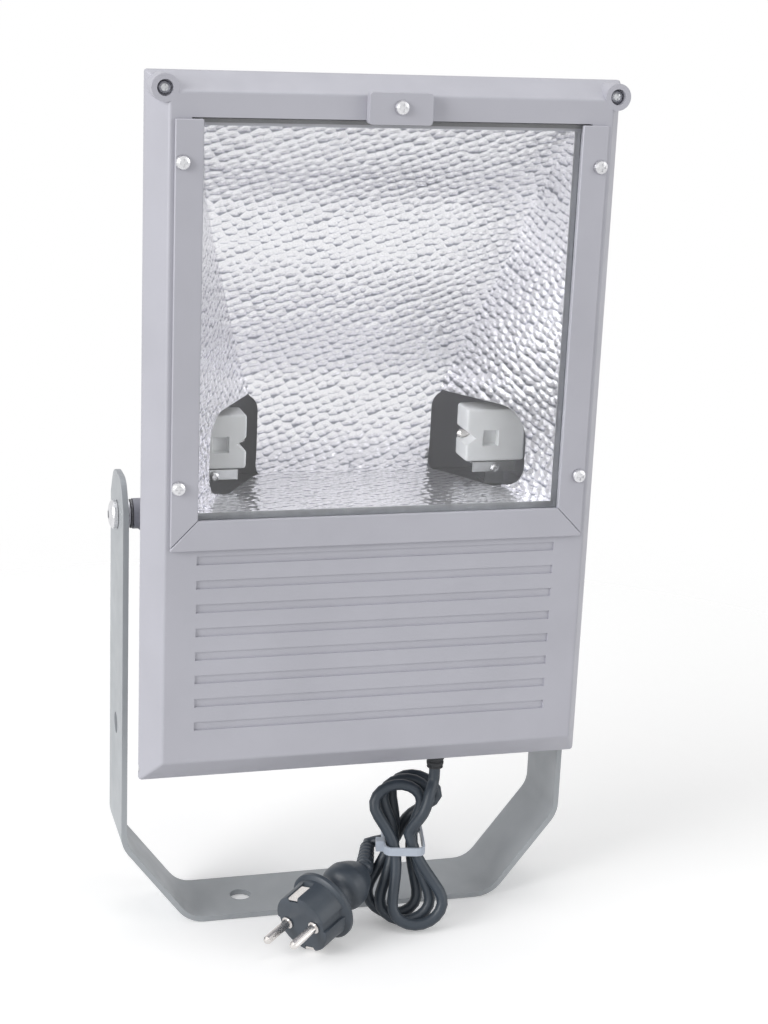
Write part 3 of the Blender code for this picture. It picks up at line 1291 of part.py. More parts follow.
def least_self_gap(points, diameter):
    """Smallest space between stretches of the cord that aren't next to each other."""
    fine = []
    for start, end in zip(points, points[1:]):
        fine += [start + (end - start) * step / 6 for step in range(6)]
    fine.append(points[-1])
    fine = np.array(fine)
    run = np.concatenate(([0.0], np.cumsum(np.linalg.norm(np.diff(fine, axis=0), axis=1))))
    apart = np.linalg.norm(fine[:, None, :] - fine[None, :, :], axis=2)
    apart[np.abs(run[:, None] - run[None, :]) < 3.2 * diameter] = 1.0
    return float(apart.min()) - diameter


def straight_end(points, at_end):
    """Direction in which the cord leaves the hank."""
    first, second = (points[-1], points[-2]) if at_end else (points[0], points[1])
    return (first - second) / np.linalg.norm(first - second)


def make_cord():
    """The hank, the lead from the gland down to it, and the short tail from it to the plug."""
    points = hank_points()
    print("least gap of the hank to itself, mm:", round(least_self_gap(points, CORD_DIAMETER) * 1000, 2))
    hank = tube("cord_hank", points, CORD_DIAMETER, 1)
    make_part(hank, "cord")
    into = straight_end(points, False)
    end = points[0] + into * GAP
    foot = relief_foot() - GAP
    lead_route = [(GLAND_X, GLAND_Y, foot), (GLAND_X, GLAND_Y, foot - CORD_DIAMETER),
                  (0.0416, -0.0382, 0.0735), (0.0378, -0.0413, 0.0635),
                  tuple(end + into * CORD_DIAMETER), tuple(end)]
    lead_points = smooth_path(lead_route, 1.6 * CORD_DIAMETER)
    lead = tube("cord_lead", lead_points, CORD_DIAMETER, 2)
    make_part(lead, "cord")
    out = straight_end(points, True)
    start = points[-1] + out * GAP
    arrive = plug_relief_direction()
    target = np.array(PLUG_RELIEF_END) - arrive * GAP
    tail_route = [tuple(start), tuple(start + out * 0.004),
                  tuple(target - arrive * 0.004), tuple(target)]
    tail_points = smooth_path(tail_route, 0.8 * CORD_DIAMETER)
    tail = tube("cord_tail", tail_points, CORD_DIAMETER, 2)
    make_part(tail, "cord")
    total = path_length(lead_points) + path_length(points) + path_length(tail_points)
    print("cord length, m:", round(total, 3))
    make_tie((lead_points, points, tail_points))


def plug_relief_direction():
    """Direction of the cord where it enters the plug's strain relief, towards the plug."""
    path = plug_relief_path()
    step = path[-2] - path[-1]
    return step / np.linalg.norm(step)


def plug_relief_path():
    """Centre line of the plug's strain relief, from the grip to its tip."""
    centre = np.array(PLUG_FLANGE_CENTRE)
    forward = np.array(Vector(PLUG_DIRECTION).normalized())
    root = centre - forward * (PLUG_FLANGE_THICKNESS + PLUG_GRIP_LENGTH + GAP)
    start = root - forward * PLUG_RELIEF_ROOT_DIAMETER * 0.2
    tip = np.array(PLUG_RELIEF_END)
    reach = np.linalg.norm(tip - start)
    handle = start - forward * reach * PLUG_RELIEF_BEND
    steps = np.linspace(0.0, 1.0, 7)
    curve = [(1 - t) ** 2 * start + 2 * t * (1 - t) * handle + t ** 2 * tip for t in steps]
    return np.array([root] + curve)


def tie_bounds(routes):
    """Room that the cord takes at the tie's height, across and through the hank."""
    across, _, forward = hank_axes()
    middle = hank_middle()
    reach = TIE_WIDTH / 2 + CORD_RADIUS * math.sin(HANK_LEAN)
    places = []
    for points in routes:
        for start, end in zip(points, points[1:]):
            for step in range(9):
                offset = start + (end - start) * step / 8 - middle
                if abs(offset[2]) < reach:
                    places.append((offset @ across, offset @ forward))
    low = np.array(places).min(axis=0)
    high = np.array(places).max(axis=0)
    grow = np.array((CORD_RADIUS, CORD_RADIUS / math.cos(HANK_LEAN))) + TIE_PLAY
    return low - grow, high + grow


def make_tie(routes):
    """Flat tie round the waist of the hank, with its head on the left."""
    low, high = tie_bounds(routes)
    corner = CORD_RADIUS + TIE_PLAY
    inner = rounded(rectangle(low, high), corner, 4)
    outer = rounded(rectangle(low - TIE_THICKNESS, high + TIE_THICKNESS), corner + TIE_THICKNESS, 4)
    # The outline's second axis runs to the back, so it is the hank's depth reversed
    inner = [(u, -depth) for u, depth in inner]
    outer = [(u, -depth) for u, depth in outer]
    matrix = Matrix.Translation(Vector(hank_middle())) @ Matrix.Rotation(-HANK_TURN, 4, "Z")
    band = plate("cable_tie", [outer, inner], TIE_WIDTH, matrix)
    head = box("tie_head", (-0.0022, -0.0028, -0.003), (0.0022, 0.0028, 0.003))
    left = low[0] - TIE_THICKNESS - 0.0016
    head.matrix_world = matrix @ Matrix.Translation((left, -high[1] * 0.45, 0.0))
    join(band, head)
    make_part(band, "tie")


def plug_matrix():
    return axis_matrix(PLUG_FLANGE_CENTRE, PLUG_DIRECTION, PIN_DIRECTION)


def make_plug():
    matrix = plug_matrix()
    face = PLUG_FACE_REACH
    rim = PLUG_FACE_DIAMETER / 2
    flange = PLUG_FLANGE_DIAMETER / 2
    grip = PLUG_GRIP_DIAMETER / 2
    neck = PLUG_NECK_DIAMETER / 2
    back = -PLUG_FLANGE_THICKNESS
    end = back - PLUG_GRIP_LENGTH
    profile = [(0.0, face), (rim - 0.001, face), (rim, face - 0.001), (rim + 0.0006, 0.001),
               (flange, 0.0), (flange, back + 0.001), (flange - 0.001, back), (grip * 0.8, back - 0.001),
               (grip * 0.72, back - PLUG_GRIP_LENGTH * 0.25), (grip, back - PLUG_GRIP_LENGTH * 0.5),
               (grip, back - PLUG_GRIP_LENGTH * 0.75), (neck, end), (0.0, end)]
    body = lathe("plug_body", profile, matrix, sides=32)
    cutters = []
    for sign in (-1, 1):
        place = matrix @ Vector((sign * PIN_SPACING / 2, 0.0, 0.0))
        axis = matrix.to_3x3() @ Vector((0, 0, 1))
        cutters.append(cylinder("pin_bore", PIN_DIAMETER + 2 * HOLE_PLAY,
                                place + axis * (face - PIN_ROOT - GAP), place + axis * (face + 0.001), 16))
        slot = box("clip_slot", (-EARTH_CLIP_WIDTH / 2 - GAP, rim - EARTH_CLIP_THICKNESS - 0.0012, 0.0),
                   (EARTH_CLIP_WIDTH / 2 + GAP, rim + 0.003, EARTH_CLIP_LENGTH + 2 * GAP))
        slot.matrix_world = (matrix @ Matrix.Rotation(math.pi / 2 * (1 - sign), 4, "Z")
                             @ Matrix.Translation((0, 0, face - EARTH_CLIP_LENGTH - GAP))
                             @ Matrix.Translation(slot.location))
        cutters.append(slot)
    cut(body, *cutters)
    make_part(body, "plug")
    make_plug_relief()
    make_pins(matrix)


def make_plug_relief():
    """Tapered sleeve between the grip and the cord, bent up towards the hank."""
    path = plug_relief_path()
    curve = bpy.data.curves.new("plug_strain_relief", "CURVE")
    curve.dimensions = "3D"
    curve.bevel_depth = PLUG_RELIEF_TIP_DIAMETER / 2
    curve.bevel_resolution = 3
    curve.use_fill_caps = True
    spline = curve.splines.new("POLY")
    spline.points.add(len(path) - 1)
    swell = PLUG_RELIEF_ROOT_DIAMETER / PLUG_RELIEF_TIP_DIAMETER
    for index, (point, place) in enumerate(zip(spline.points, path)):
        point.co = (*place, 1.0)
        point.radius = swell + (1 - swell) * index / (len(path) - 1)
    item = bpy.data.objects.new("plug_strain_relief", curve)
    CUTTERS.objects.link(item)
    make_part(curve_to_mesh(item), "plug")


def make_pins(matrix):
    """Two round pins with collars at the face, and the two earth clips at the edge of the face."""
    radius = PIN_DIAMETER / 2
    collar = PIN_COLLAR_DIAMETER / 2
    length = PIN_LENGTH
    profile = [(0.0, length), (radius * 0.6, length - 0.0005), (radius, length - 0.002),
               (radius, PIN_COLLAR_LENGTH), (collar, PIN_COLLAR_LENGTH - 0.0003), (collar, GAP),
               (radius, GAP), (radius, -PIN_ROOT), (0.0, -PIN_ROOT)]
    for name, sign in (("right", 1), ("left", -1)):
        place = matrix @ Matrix.Translation((sign * PIN_SPACING / 2, 0.0, PLUG_FACE_REACH))
        make_part(lathe("plug_pin_" + name, profile, place, sides=16), "nickel")
    rim = PLUG_FACE_DIAMETER / 2
    for name, sign in (("upper", 1), ("lower", -1)):
        clip = box("earth_clip_" + name,
                   (-EARTH_CLIP_WIDTH / 2, rim - EARTH_CLIP_THICKNESS - 0.0012 + GAP, 0.0),
                   (EARTH_CLIP_WIDTH / 2, rim - 0.0012 + GAP, EARTH_CLIP_LENGTH))
        clip.matrix_world = (matrix @ Matrix.Rotation(math.pi / 2 * (1 - sign), 4, "Z")
                             @ Matrix.Translation((0, 0, PLUG_FACE_REACH - EARTH_CLIP_LENGTH))
                             @ Matrix.Translation(clip.location))
        make_part(bevel(clip, 0.0004, 1), "nickel")


def make_empty(name, place):
    empty = bpy.data.objects.new(name, None)
    empty.location = place
    COLLECTION.objects.link(empty)
    return empty


def build():
    clear_scene()
    head = make_empty("tilt_axis", (0.0, 0.0, PIVOT_HEIGHT))
    door = make_empty("cover_hinge_axis", (0.0, HINGE_Y, HINGE_Z))
    make_yoke()
    for name, sign in sides():
        make_pivot(name, sign, head)
        make_lampholder(name, sign, head)
    make_housing(head)
    make_cover_seal(head)
    make_front_cover(door)
    make_glass(door)
    make_strips(door)
    make_clip(door)
    make_cover_screws(door)
    make_hinge_pins(head)
    make_reflectors(head)
    make_partition(head)
    make_tray(head)
    make_ballast(head)
    make_gear(head)
    make_gland(head)
    make_cord()
    make_plug()


build()
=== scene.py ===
import json
import math

import bmesh
import bpy
import numpy as np
from mathutils import Matrix, Quaternion, Vector


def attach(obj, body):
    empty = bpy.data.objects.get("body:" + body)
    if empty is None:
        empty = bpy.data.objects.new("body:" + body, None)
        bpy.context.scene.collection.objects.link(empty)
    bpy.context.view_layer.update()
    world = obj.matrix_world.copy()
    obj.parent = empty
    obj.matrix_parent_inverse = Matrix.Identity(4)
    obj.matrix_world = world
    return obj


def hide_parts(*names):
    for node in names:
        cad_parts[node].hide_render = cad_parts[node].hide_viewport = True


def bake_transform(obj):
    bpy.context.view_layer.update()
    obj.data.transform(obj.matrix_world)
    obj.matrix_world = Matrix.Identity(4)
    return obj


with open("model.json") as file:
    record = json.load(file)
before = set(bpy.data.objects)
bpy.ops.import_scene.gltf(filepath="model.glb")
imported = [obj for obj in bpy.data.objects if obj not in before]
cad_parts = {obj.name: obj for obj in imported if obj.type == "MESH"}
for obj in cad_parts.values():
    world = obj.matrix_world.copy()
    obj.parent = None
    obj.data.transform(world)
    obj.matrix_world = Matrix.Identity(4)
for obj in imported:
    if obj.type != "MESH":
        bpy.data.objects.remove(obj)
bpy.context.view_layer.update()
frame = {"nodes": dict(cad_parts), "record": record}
NODES = frame["nodes"]

# Camera, at the photograph's angle: place in metres, angles in degrees, lens for a 36 mm long side
CAMERA_PLACE = (-0.26513, -0.98222, 0.51338)
CAMERA_AZIMUTH = -16.1931
CAMERA_ELEVATION = 16.0103
CAMERA_ROLL = 2.4801
CAMERA_LENS = 70.35

# Mains cord, along the route of the part's source
CORD_DIAMETER = 0.0061
CORD_RESOLUTION = 5
GLAND_PLACE = (0.0448, -0.034)
LEAD_FOOT = 0.0861
LEAD_ROUTE = ((0.0416, -0.0382, 0.0735), (0.0378, -0.0413, 0.0635))
LEAD_INSIDE = 0.012              # length of the lead inside its strain relief
JOINT_OVERLAP = 0.002            # how far the lead reaches into the hank's start
TAIL_STRAIGHT = 0.004            # straight part at each end of the tail
TAIL_INSIDE = 0.003              # length of the tail inside the plug's strain relief
CURVE_STEPS = 20                 # steps between two points of a smooth path

# Tied hank
HANK_LOOPS = 3
HANK_POINTS_PER_LOOP = 48
HANK_WAIST = (0.0300, -0.0295)
HANK_RISE = 0.034
HANK_FALL = 0.042
HANK_FOLD_RADIUS = 0.0150
HANK_WAIST_HALF = 0.005
HANK_STEP = 0.0072
HANK_LEAN = math.radians(20)
HANK_TURN = math.radians(12)
HANK_FAN = math.radians(12)
HANK_EXIT = -0.001
HANK_EXIT_SHARE = 0.16
HANK_CLIMB_START = 0.84
FLOOR_CLEARANCE = 0.0004

# Plug
PLUG_FLANGE_CENTRE = (-0.0217, -0.0576, 0.0213)
PLUG_DIRECTION = (-0.780, -0.575, -0.243)
PIN_DIRECTION = (0.535, -0.817, 0.2155)
PLUG_FACE_REACH = 0.0165
PLUG_FACE_RADIUS = 0.01675
PLUG_FLANGE_RADIUS = 0.0194
PLUG_FLANGE_THICKNESS = 0.0035
PLUG_GRIP_LENGTH = 0.029
PLUG_RELIEF_END = (0.0138, -0.0170, 0.0335)
PLUG_RELIEF_ROOT_RADIUS = 0.0054
PLUG_RELIEF_TIP_RADIUS = 0.00395
PLUG_RELIEF_START = 0.4          # length of its straight start, as a share of the root's radius
PLUG_RELIEF_BEND = 0.12
PLUG_RELIEF_RIBS = 7
GAP = 0.0003

# Plug details
PLUG_SIDE_STEP = 4               # degrees between the points round the plug
PLUG_GRIP_STEP = 0.0009
PIN_SPACING = 0.019
PIN_BORE = 0.0054
PIN_ROOT = 0.0095
BORE_SIDES = 24
BORE_SPARE = 0.001
EARTH_SLOT_HALF = 0.00355
EARTH_SLOT_DEPTH = 0.0030
EARTH_SLOT_LENGTH = 0.0121
GUIDE_HALF = 0.0026
GUIDE_DEPTH = 0.0013
GUIDE_START = 0.0025             # guide grooves' rear end above the flange
GROOVE_EDGE = math.radians(0.35)
NEAR = 0.00001                   # heights this close to a groove's end belong to the groove
MERGE_DISTANCE = 0.000005

# Rings of both strain reliefs: each takes the last part of its share of the length
SLEEVE_RESOLUTION = 6
SLEEVE_STEP = 0.0004
RING_START = 0.55
RING_DEPTH = 0.0009
LAST_RING = 0.97

# Strain relief at the housing
RELIEF_TOP = 0.1089
RELIEF_FOOT = 0.0864
RELIEF_TOP_RADIUS = 0.00625
RELIEF_FOOT_RADIUS = 0.0044
RELIEF_RIBS = 7

# Reflector: where the main sheet meets a side sheet, as depth, height and half width
REFLECTOR_LINE = (
    (-0.0550, 0.4281, 0.0915),
    (-0.0416, 0.4085, 0.0874),
    (-0.0256, 0.3857, 0.0830),
    (-0.0136, 0.3538, 0.0743),
    (-0.0019, 0.3281, 0.0665),
    (0.0103, 0.2996, 0.0576),
    (0.0128, 0.2839, 0.0523),
    (0.0133, 0.2560, 0.0520),
    (0.0150, 0.2436, 0.0510),
)
MOUTH_Y = -0.0556
MOUTH_HALF = 0.0919
FLOOR_FRONT_Z = 0.2398
FLOOR_BACK = (0.0110, 0.2416, 0.0533)
SHEET_THICKNESS = 0.0008
SHEET_STEP = 0.003
MAIN_COLUMNS = 13
SIDE_COLUMNS = 9
FLOOR_ROWS = 12
MOUTH_TOP = 0.4279
RIM_HALF = 0.0995
RIM_LOW = 0.2352
RIM_HIGH = 0.4310
RIM_THICKNESS = 0.0004
RIM_CLEARANCE = 0.00005

# Openings for the lamp sockets
CUTOUT_FRONT = -0.0393
CUTOUT_BACK = 0.03
CUTOUT_LOW = 0.2300
CUTOUT_FOOT = 0.2412             # lower edge of the opening in front of the floor's notch
CUTOUT_HIGH = 0.2833
CUTOUT_FOOT_RADIUS = 0.0125
CUTOUT_HIGH_RADIUS = 0.0155
CUTOUT_SIDE = (0.0415, 0.11)     # reach of the side sheet's cutter across
CORNER_STEPS = 6
NOTCH_ROW = 6                    # row of the reflector's line at the openings' upper edge
NOTCH_FRONT = -0.0266            # front edge of the notch in the floor
NOTCH_REACH = 0.0050             # opening in the main sheet beyond the seam
NOTCH_TOP = 0.2445               # upper end of the cutter through the floor
NOTCH_SIDE = 0.08
NOTCH_DEPTH = (0.006, 0.03)      # reach of the cutter through the wall, front to back
NOTCH_RADII = (0.006, 0.009)     # in the wall, lower and upper
FLOOR_NOTCH_RADII = (0.003, 0.004)
FLOOR_NOTCH_SPARE = 0.02         # how far the floor's cutter passes the sheet's edge
FLOOR_NOTCH_BACK = 0.002         # its inner side runs straight from this far before the back edge

# Hammered surface
PEBBLE_WIDTH = 0.0048
PEBBLE_HEIGHT = 0.0040
PEBBLE_TURN = math.radians(24)
PEBBLE_VARIETY = 0.55
PEBBLE_DEPTH = 0.0007
DRIFT_SIZE = 0.007               # patches in which the rows wander
DRIFT_REACH = 0.0022

# Rounded edges of the carried-over solids
WELD_DISTANCE = 0.00001
FLAT_ANGLE = math.radians(0.6)
SHARP_ANGLE = math.radians(35)
STRIP_EDGE = 0.0005
CASTING_EDGE = 0.0003
SMALL_EDGE = 0.00025

# Orange peel of the paint, and fine marks in bare metal
PEEL_GRAIN = 0.0011
PEEL_DEPTH = 0.00006
MARKS_GRAIN = 0.0006
MARKS_DEPTH = 0.00003

# Light: each lamp as place, side length and power
AMBIENT = 0.40
LIGHT_TARGET = (0.0, 0.0, 0.25)
LIGHTS = {
    "key": ((-2.1, -0.9, 1.1), 1.4, 44.0),
    "top": ((0.1, 0.1, 2.0), 1.6, 8.0),
    "fill": ((1.6, -1.3, 0.9), 1.2, 10.0),
}
FLOOR_SIZE = 6.0
FLOOR_DROP = 0.0003
FLOOR_GLOW = 0.24
FLOOR_FADE = (0.25, 0.75)        # distances from the middle where it starts to fade and is gone


def link(item):
    bpy.context.scene.collection.objects.link(item)
    return item


def make_camera():
    azimuth = math.radians(CAMERA_AZIMUTH)
    elevation = math.radians(CAMERA_ELEVATION)
    back = Vector((math.sin(azimuth) * math.cos(elevation), -math.cos(azimuth) * math.cos(elevation),
                   math.sin(elevation)))
    camera = link(bpy.data.objects.new("camera", bpy.data.cameras.new("camera")))
    camera.location = CAMERA_PLACE
    camera.rotation_mode = "QUATERNION"
    level = (-back).to_track_quat("-Z", "Y")
    camera.rotation_quaternion = Quaternion(back, math.radians(CAMERA_ROLL)) @ level
    camera.data.lens = CAMERA_LENS
    bpy.context.scene.camera = camera


# Materials

def new_material(name, colour, metallic, roughness):
    material = bpy.data.materials.new(name)
    material.use_nodes = True
    shader = material.node_tree.nodes["Principled BSDF"]
    shader.inputs["Base Color"].default_value = (*colour, 1.0)
    shader.inputs["Metallic"].default_value = metallic
    shader.inputs["Roughness"].default_value = roughness
    return material, material.node_tree, shader


def place_vector(tree, stretch=(1.0, 1.0, 1.0)):
    place = tree.nodes.new("ShaderNodeTexCoord")
    scale = tree.nodes.new("ShaderNodeMapping")
    scale.inputs["Scale"].default_value = stretch
    tree.links.new(place.outputs["Object"], scale.inputs["Vector"])
    return scale.outputs["Vector"]


def noise(tree, size, detail, stretch=(1.0, 1.0, 1.0)):
    """Soft noise whose patches are about the given size in metres."""
    texture = tree.nodes.new("ShaderNodeTexNoise")
    texture.inputs["Scale"].default_value = 1.0 / size
    texture.inputs["Detail"].default_value = detail
    tree.links.new(place_vector(tree, stretch), texture.inputs["Vector"])
    return texture.outputs["Fac"]


def ramp(tree, factor, stops):
    """Colours along a factor; each stop is a place from 0 to 1 and a colour."""
    scale = tree.nodes.new("ShaderNodeValToRGB")
    marks = scale.color_ramp.elements
    while len(marks) < len(stops):
        marks.new(0.5)
    for mark, (place, colour) in zip(marks, stops):
        mark.position = place
        mark.color = (*colour, 1.0)
    tree.links.new(factor, scale.inputs["Fac"])
    return scale.outputs["Color"]


def spread(tree, factor, low, high, start=0.0, end=1.0):
    """A factor between two limits, turned into a value between two others."""
    change = tree.nodes.new("ShaderNodeMapRange")
    for name, value in (("From Min", start), ("From Max", end), ("To Min", low), ("To Max", high)):
        change.inputs[name].default_value = value
    tree.links.new(factor, change.inputs["Value"])
    return change.outputs["Result"]


def combine(tree, first, second, share=1.0):
    """The first factor plus a share of the second."""
    scaled = tree.nodes.new("ShaderNodeMath")
    scaled.operation = "MULTIPLY"
    scaled.inputs[1].default_value = share
    tree.links.new(second, scaled.inputs[0])
    total = tree.nodes.new("ShaderNodeMath")
    total.operation = "ADD"
    tree.links.new(first, total.inputs[0])
    tree.links.new(scaled.outputs[0], total.inputs[1])
    return total.outputs[0]


def bump(tree, shader, height, depth, strength):
    relief = tree.nodes.new("ShaderNodeBump")
    relief.inputs["Distance"].default_value = depth
    relief.inputs["Strength"].default_value = strength
    tree.links.new(height, relief.inputs["Height"])
    tree.links.new(relief.outputs["Normal"], shader.inputs["Normal"])


def shade(colour, factor):
    return tuple(min(1.0, value * factor) for value in colour)


def paint(name, colour, metallic, roughness, mottling):
    """Sprayed paint: a fine orange peel, a faint mottling and uneven gloss."""
    material, tree, shader = new_material(name, colour, metallic, roughness)
    patches = noise(tree, 0.045, 4.0)
    tree.links.new(ramp(tree, patches, ((0.3, shade(colour, 1 - mottling)),
                                        (0.7, shade(colour, 1 + mottling)))),
                   shader.inputs["Base Color"])
    tree.links.new(spread(tree, noise(tree, 0.012, 3.0), roughness - 0.06, roughness + 0.08, 0.3, 0.7),
                   shader.inputs["Roughness"])
    peel = combine(tree, noise(tree, PEEL_GRAIN, 2.0), noise(tree, PEEL_GRAIN * 6, 2.0), share=0.6)
    bump(tree, shader, peel, PEEL_DEPTH, 0.5)
    shader.inputs["Coat Weight"].default_value = 0.04
    shader.inputs["Coat Roughness"].default_value = 0.3
    return material


def bare_metal(name, colour, roughness, stretch=(1.0, 1.0, 1.0)):
    """Plated or rolled metal, with fine marks that may run one way."""
    material, tree, shader = new_material(name, colour, 1.0, roughness)
    marks = noise(tree, MARKS_GRAIN, 3.0, stretch)
    tree.links.new(ramp(tree, noise(tree, 0.006, 3.0), ((0.3, shade(colour, 0.86)), (0.7, colour))),
                   shader.inputs["Base Color"])
    tree.links.new(spread(tree, marks, roughness - 0.07, roughness + 0.12, 0.3, 0.7),
                   shader.inputs["Roughness"])
    bump(tree, shader, marks, MARKS_DEPTH, 0.4)
    return material


def hammered_sheet():
    """Bright sheet pressed all over into rows of small pebbles, each with painted shade on its lower side
    and along its border.
    """
    material, tree, shader = new_material("hammered", (0.90, 0.90, 0.92), 0.8, 0.22)
    sheet = tree.nodes.new("ShaderNodeAttribute")
    sheet.attribute_name = "sheet"
    drift = tree.nodes.new("ShaderNodeTexNoise")
    drift.inputs["Scale"].default_value = 1.0 / DRIFT_SIZE
    drift.inputs["Detail"].default_value = 2.0
    tree.links.new(sheet.outputs["Vector"], drift.inputs["Vector"])
    moved = tree.nodes.new("ShaderNodeVectorMath")
    moved.operation = "MULTIPLY_ADD"
    moved.inputs[1].default_value = (DRIFT_REACH, DRIFT_REACH, 0.0)
    tree.links.new(drift.outputs["Color"], moved.inputs[0])
    tree.links.new(sheet.outputs["Vector"], moved.inputs[2])
    grid = tree.nodes.new("ShaderNodeMapping")
    grid.vector_type = "TEXTURE"
    grid.inputs["Rotation"].default_value = (0.0, 0.0, PEBBLE_TURN)
    grid.inputs["Scale"].default_value = (PEBBLE_WIDTH, PEBBLE_HEIGHT, 1.0)
    tree.links.new(moved.outputs["Vector"], grid.inputs["Vector"])
    outputs = {}
    for feature in ("F1", "SMOOTH_F1", "DISTANCE_TO_EDGE"):
        cells = tree.nodes.new("ShaderNodeTexVoronoi")
        cells.voronoi_dimensions = "2D"
        cells.feature = feature
        cells.inputs["Scale"].default_value = 1.0
        cells.inputs["Randomness"].default_value = PEBBLE_VARIETY
        tree.links.new(grid.outputs["Vector"], cells.inputs["Vector"])
        outputs[feature] = cells
    away = tree.nodes.new("ShaderNodeVectorMath")
    away.operation = "SUBTRACT"
    tree.links.new(grid.outputs["Vector"], away.inputs[0])
    tree.links.new(outputs["F1"].outputs["Position"], away.inputs[1])
    upward = tree.nodes.new("ShaderNodeVectorMath")
    upward.operation = "DOT_PRODUCT"
    upward.inputs[1].default_value = (math.sin(PEBBLE_TURN), math.cos(PEBBLE_TURN), 0.0)
    tree.links.new(away.outputs["Vector"], upward.inputs[0])
    # Painted shade: each pebble darker towards its lower side and lighter towards its upper side, as if lit
    # from above.
    painted_shade_below = spread(tree, upward.outputs["Value"], 0.0, 1.0, -0.48, -0.05)
    # Painted shade along each pebble's border, where the crevices between pebbles lie.
    rim = spread(tree, outputs["DISTANCE_TO_EDGE"].outputs["Distance"], 0.5, 1.0, 0.0, 0.13)
    painted_shade = tree.nodes.new("ShaderNodeMath")
    painted_shade.operation = "MULTIPLY"
    tree.links.new(painted_shade_below, painted_shade.inputs[0])
    tree.links.new(rim, painted_shade.inputs[1])
    # The base colour runs from dark to bright with the painted shade, plus random patches of tone.
    patches = spread(tree, noise(tree, 0.03, 3.0), -0.08, 0.08, 0.3, 0.7)
    tree.links.new(ramp(tree, combine(tree, painted_shade.outputs[0], patches),
                        ((0.0, (0.32, 0.33, 0.38)), (0.25, (0.66, 0.66, 0.72)), (0.5, (0.91, 0.90, 0.945)),
                         (0.8, (0.975, 0.965, 0.995)))),
                   shader.inputs["Base Color"])
    tree.links.new(spread(tree, noise(tree, 0.02, 3.0), 0.16, 0.28, 0.3, 0.7), shader.inputs["Roughness"])
    dome = spread(tree, outputs["SMOOTH_F1"].outputs["Distance"], 1.0, 0.0, 0.0, 0.75)
    bump(tree, shader, dome, PEBBLE_DEPTH, 0.7)
    return material


def clear_glass():
    """Window glass, clear through its face and sea green where light runs along it."""
    material, tree, shader = new_material("glass", (0.995, 0.995, 0.995), 0.0, 0.02)
    shader.inputs["Transmission Weight"].default_value = 1.0
    shader.inputs["IOR"].default_value = 1.45
    smears = noise(tree, 0.03, 3.0)
    tree.links.new(spread(tree, smears, 0.0, 0.03, 0.45, 0.8), shader.inputs["Roughness"])
    path = tree.nodes.new("ShaderNodeLightPath")
    either = tree.nodes.new("ShaderNodeMath")
    either.operation = "MAXIMUM"
    tree.links.new(path.outputs["Is Shadow Ray"], either.inputs[0])
    tree.links.new(path.outputs["Is Diffuse Ray"], either.inputs[1])
    through = tree.nodes.new("ShaderNodeBsdfTransparent")
    through.inputs["Color"].default_value = (0.985, 0.985, 0.985, 1.0)
    mix = tree.nodes.new("ShaderNodeMixShader")
    tree.links.new(either.outputs[0], mix.inputs["Fac"])
    tree.links.new(shader.outputs["BSDF"], mix.inputs[1])
    tree.links.new(through.outputs["BSDF"], mix.inputs[2])
    tree.links.new(mix.outputs["Shader"], tree.nodes["Material Output"].inputs["Surface"])
    inside = tree.nodes.new("ShaderNodeVolumeAbsorption")
    inside.inputs["Color"].default_value = (0.55, 0.80, 0.78, 1.0)
    inside.inputs["Density"].default_value = 5.0
    tree.links.new(inside.outputs["Volume"], tree.nodes["Material Output"].inputs["Volume"])
    return material


def moulded(name, colour, roughness, grain=0.0008, depth=0.00005, patch=0.02, contrast=0.12):
    """Plastic, rubber or ceramic with a fine surface and slightly uneven colour and gloss."""
    material, tree, shader = new_material(name, colour, 0.0, roughness)
    tree.links.new(ramp(tree, noise(tree, patch, 3.0), ((0.3, shade(colour, 1 - contrast)),
                                                        (0.7, shade(colour, 1 + contrast)))),
                   shader.inputs["Base Color"])
    surface = noise(tree, grain, 3.0)
    tree.links.new(spread(tree, surface, roughness - 0.06, roughness + 0.08, 0.3, 0.7),
                   shader.inputs["Roughness"])
    bump(tree, shader, surface, depth, 0.6)
    return material


def laminations():
    """The edges of stacked sheets, one above another."""
    colour = (0.20, 0.20, 0.21)
    material, tree, shader = new_material("laminations", colour, 0.7, 0.5)
    layers = tree.nodes.new("ShaderNodeTexWave")
    layers.bands_direction = "Y"
    layers.inputs["Scale"].default_value = 320.0
    tree.links.new(place_vector(tree), layers.inputs["Vector"])
    tree.links.new(ramp(tree, layers.outputs["Fac"], ((0.2, shade(colour, 0.5)), (0.8, shade(colour, 1.3)))),
                   shader.inputs["Base Color"])
    bump(tree, shader, layers.outputs["Fac"], 0.0002, 0.6)
    return material


def winding():
    """Enamelled wire laid side by side, with painted shade between the turns and a painted highlight along
    them.
    """
    colour = (0.55, 0.26, 0.14)
    material, tree, shader = new_material("copper", colour, 0.6, 0.35)
    turns = tree.nodes.new("ShaderNodeTexWave")
    turns.bands_direction = "Z"
    turns.inputs["Scale"].default_value = 260.0
    turns.inputs["Distortion"].default_value = 0.6
    tree.links.new(place_vector(tree), turns.inputs["Vector"])
    # Painted shade and highlight: darker in the grooves between the turns, lighter along their crowns.
    tree.links.new(ramp(tree, turns.outputs["Fac"], ((0.1, shade(colour, 0.35)),
                                                     (0.7, shade(colour, 1.15)))),
                   shader.inputs["Base Color"])
    bump(tree, shader, turns.outputs["Fac"], 0.0003, 0.8)
    return material


